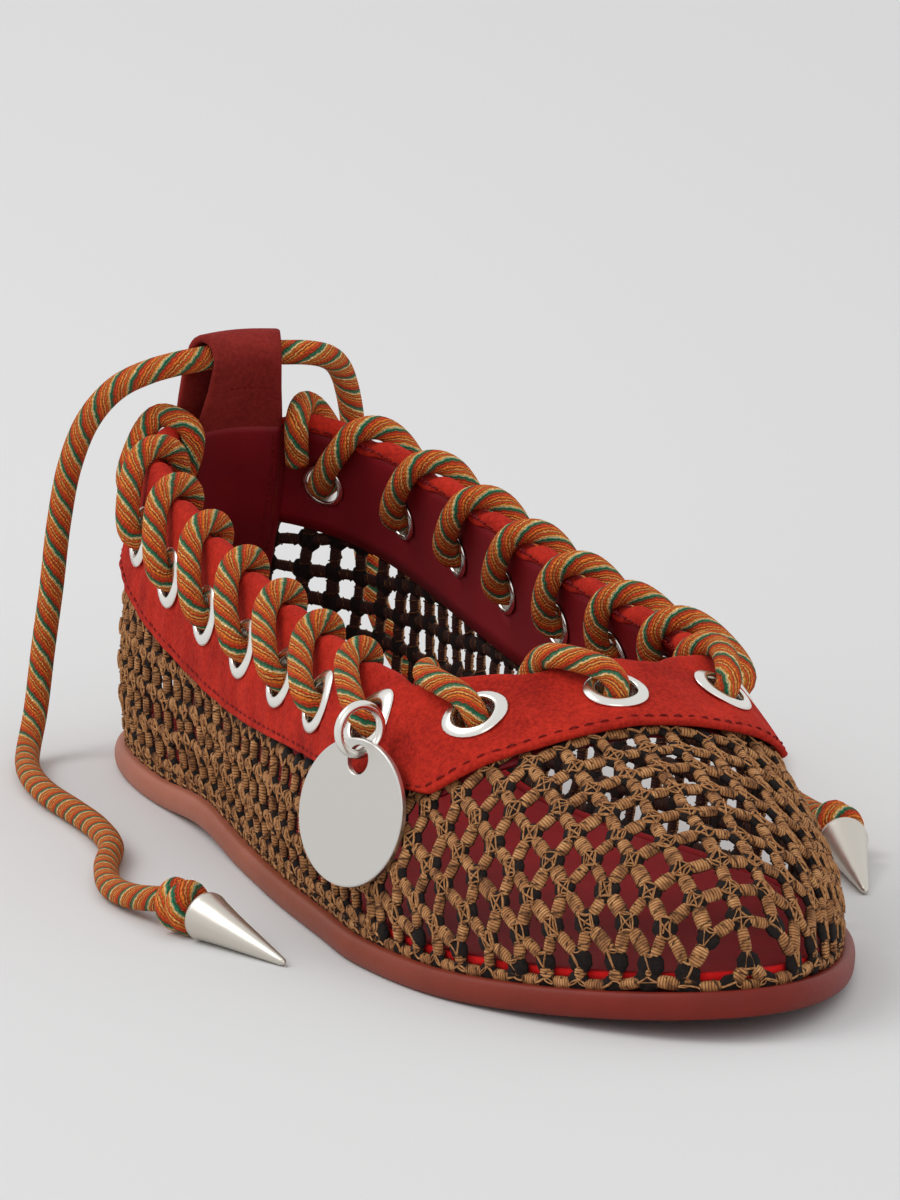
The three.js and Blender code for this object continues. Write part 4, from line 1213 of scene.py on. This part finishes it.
top = centre - np.array([0, 0, CHARM_DROP])
facing = math.atan2(out_way[1], out_way[0]) + CHARM_TWIST
face = np.array([math.cos(facing), math.sin(facing), CHARM_TILT])
face /= np.linalg.norm(face)
side = np.array([-face[1], face[0], 0]) / math.hypot(face[0], face[1])
up = np.cross(face, side)
half = CHARM_WALL / 2
angles = np.linspace(0, 2 * np.pi, 96, endpoint=False)
circle = np.stack([np.cos(angles), np.sin(angles)], 1)
disc = np.array([0, CHARM_INSET - CHARM_RADIUS])
CHARM_ROWS = [(0, 0.0, half), (1, 0.25, half), (1, 0.08, half - 0.07), (1, 0, half - 0.22),
              (1, 0, 0.22 - half), (1, 0.08, 0.07 - half), (1, 0.25, -half), (0, 0.0, -half),
              (0, -0.12, 0.1 - half), (0, -0.12, half - 0.1)]
rings = []
for outer, inset, z in CHARM_ROWS:
    flat = disc + circle * (CHARM_RADIUS - inset) if outer else circle * (CHARM_HOLE + 0.12 + inset)
    rings.append(top + flat[:, :1] * side + flat[:, 1:] * up + z * face)
pile = Pile()
pile.grid(np.array(rings), wrap=True, loop=True)
charm = pile.make("charm_disc", charm_look, "charm_metal", smooth=False)
clean(charm)
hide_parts("charm")

# ---- Ties, lying on the floor ----
TIES = {
    "outer": [
        (-0.6, 101.6, 73.6), (-3.8, 101.1, 73.5), (-7.8, 99.9, 73.4), (-12.3, 99.3, 73.1),
        (-17, 101.5, 71.6), (-21.3, 106, 68.3), (-24.8, 111, 62), (-27, 115, 53),
        (-28.3, 117.5, 42), (-29.3, 118.8, 30.5), (-31, 119, 19),
        (-33.5, 116.5, 8.5), (-37, 111, 3.2), (-40.5, 102.5, 2.3), (-43.5, 92, 2.3),
        (-45.5, 79, 2.3), (-46, 65, 2.3), (-47, 51, 2.3), (-50, 37, 2.3), (-56, 24, 2.3), (-60.5, 10, 2.3),
        (-61, -2, 3.2), (-59.4, -12, 4.75),
    ],
    "inner": [
        (0.6, 101.6, 73.6), (3.8, 101.1, 73.5), (7.8, 99.9, 73.4), (12.3, 99.3, 73.1),
        (17, 101.5, 71.6), (21.3, 106, 68.3), (25, 111, 62), (27.7, 115, 53),
        (29.6, 117.5, 42), (31.4, 118.4, 30.5), (34, 118, 19),
        (39, 115.5, 8.5), (46.5, 111.5, 3.2), (57, 107, 2.3), (69, 101.5, 2.3), (79.5, 93, 2.3),
        (85.5, 81, 2.3), (86, 67.5, 2.3), (81.5, 54.5, 2.3), (75.5, 42, 2.3), (72.5, 28.5, 2.3),
        (71.5, 15, 2.3), (70, 4, 3.2), (67.6, -5, 4.75),
    ],
}
HEADINGS = {"outer": (0.22, -0.975), "inner": (-0.26, -0.966)}
KNOT_GAP = 0.6
CONE_GAP = 0.45
CONE_ROWS = [(3.2, 1.2), (3.45, 0.1), (3.9, 0), (4.25, 0.25), (4.28, 0.8), (4.15, 1.2), (3.9, 2.4),
             (3.2, 6.4), (2.5, 11), (1.8, 15.8), (1.1, 20.5), (0.65, 23.4), (0.3, 24), (0.02, 24)]
for name, points in TIES.items():
    line, run = smooth_route(points, 1.0)
    pile = Pile()
    cord(pile, line, run, TIE_DIAMETER / 2)
    tie = pile.make(f"tie_cord_{name}", cord_look, "cord")
    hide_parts(f"tie_{name}")
    heading = np.array([*HEADINGS[name], 0.0])
    aside = np.array([-heading[1], heading[0], 0.0])
    up = np.array([0, 0, 1.0])
    end = np.array(points[-1])
    # The knot: the cord wound twice round itself
    t = np.linspace(0, 1, 90)
    angle = 2 * math.pi * 2.1 * t
    ends = np.clip(np.minimum(t, 1 - t) / 0.12, 0.35, 1)
    start = end + heading * (KNOT_GAP + 2.3)
    wound = (start + heading * ((KNOT_LENGTH - 4.4) * t)[:, None]
             + 2.35 * ends[:, None] * (np.cos(angle)[:, None] * aside + np.sin(angle)[:, None] * up))
    pile = Pile()
    length = np.concatenate([[0], np.cumsum(np.linalg.norm(np.diff(wound, axis=0), axis=1))])
    cord(pile, wound, length, 2.3)
    knot = pile.make(f"tie_knot_cord_{name}", cord_look, "cord")
    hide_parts(f"tie_knot_{name}")
    # The cone, its side on the floor
    slope = (CONE_RADIUS - 0.6) / CONE_LENGTH
    start = end + heading * (KNOT_GAP + KNOT_LENGTH + CONE_GAP)
    start[2] = CONE_RADIUS / math.cos(math.atan(slope))
    axis = np.array([heading[0], heading[1], -slope])
    axis /= np.linalg.norm(axis)
    cross = np.cross(axis, aside)
    angles = np.linspace(0, 2 * np.pi, 40, endpoint=False)
    rings = np.array([start + axis * along + r * (np.cos(angles)[:, None] * aside + np.sin(angles)[:, None] * cross)
                      for r, along in CONE_ROWS])
    pile = Pile()
    pile.grid(rings, wrap=True, caps=True)
    cone = pile.make(f"cone_{name}", cone_look, "cone_metal")
    clean(cone)
    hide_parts(f"tie_cone_{name}")
    print("tie", name, round(float(run[-1]), 1))

# ---- Floor and light ----
FLOOR_SIZE = 12
mesh = bpy.data.meshes.new("floor")
mesh.from_pydata([(x * FLOOR_SIZE, y * FLOOR_SIZE, 0) for x, y in ((-1, -1), (1, -1), (1, 1), (-1, 1))], [],
                 [(0, 1, 2, 3)])
floor = bpy.data.objects.new("floor", mesh)
floor_look, nodes, links, floor_shader = material("floor_look", (0.8, 0.8, 0.8, 1), 0.9)
# Painted light and shade: the floor is coloured darker towards the camera and to the right, lighter far back and to the
# left
split = nodes.new("ShaderNodeSeparateXYZ")
links.new(nodes.new("ShaderNodeTexCoord").outputs["Object"], split.inputs[0])
painted_falloff = math_node(nodes, links, "SUBTRACT", math_node(nodes, links, "MULTIPLY", split.outputs[1], 0.6),
                 math_node(nodes, links, "MULTIPLY", split.outputs[0], 0.5))
links.new(ramp(nodes, links, math_node(nodes, links, "ADD", painted_falloff, 0.3),
               [(0.0, (0.69, 0.69, 0.69, 1)), (0.3, (0.7, 0.7, 0.7, 1)), (1.0, (0.8, 0.8, 0.8, 1))]),
          floor_shader.inputs["Base Color"])
floor_shader.inputs["Specular IOR Level"].default_value = 0.1
mesh.materials.append(floor_look)
bpy.context.scene.collection.objects.link(floor)
floor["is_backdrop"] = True

world = bpy.data.worlds.new("world")
world.use_nodes = True
world.node_tree.nodes["Background"].inputs["Color"].default_value = (1, 1, 1, 1)
world.node_tree.nodes["Background"].inputs["Strength"].default_value = 0.8
bpy.context.scene.world = world


def area_light(name, place, target, size, power):
    data = bpy.data.lights.new(name, "AREA")
    data.size, data.energy = size, power
    light = bpy.data.objects.new(name, data)
    light.location = place
    light.rotation_mode = "QUATERNION"
    light.rotation_quaternion = (Vector(target) - Vector(place)).to_track_quat("-Z", "Y")
    bpy.context.scene.collection.objects.link(light)
    return light


area_light("key", (-0.85, 0.35, 1.15), (0, 0, 0.03), 0.8, 6.5)
area_light("fill", (-0.3, -1.5, 0.8), (0, 0, 0.03), 1.0, 2)
bpy.context.scene.view_settings.view_transform = "Standard"

low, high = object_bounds()
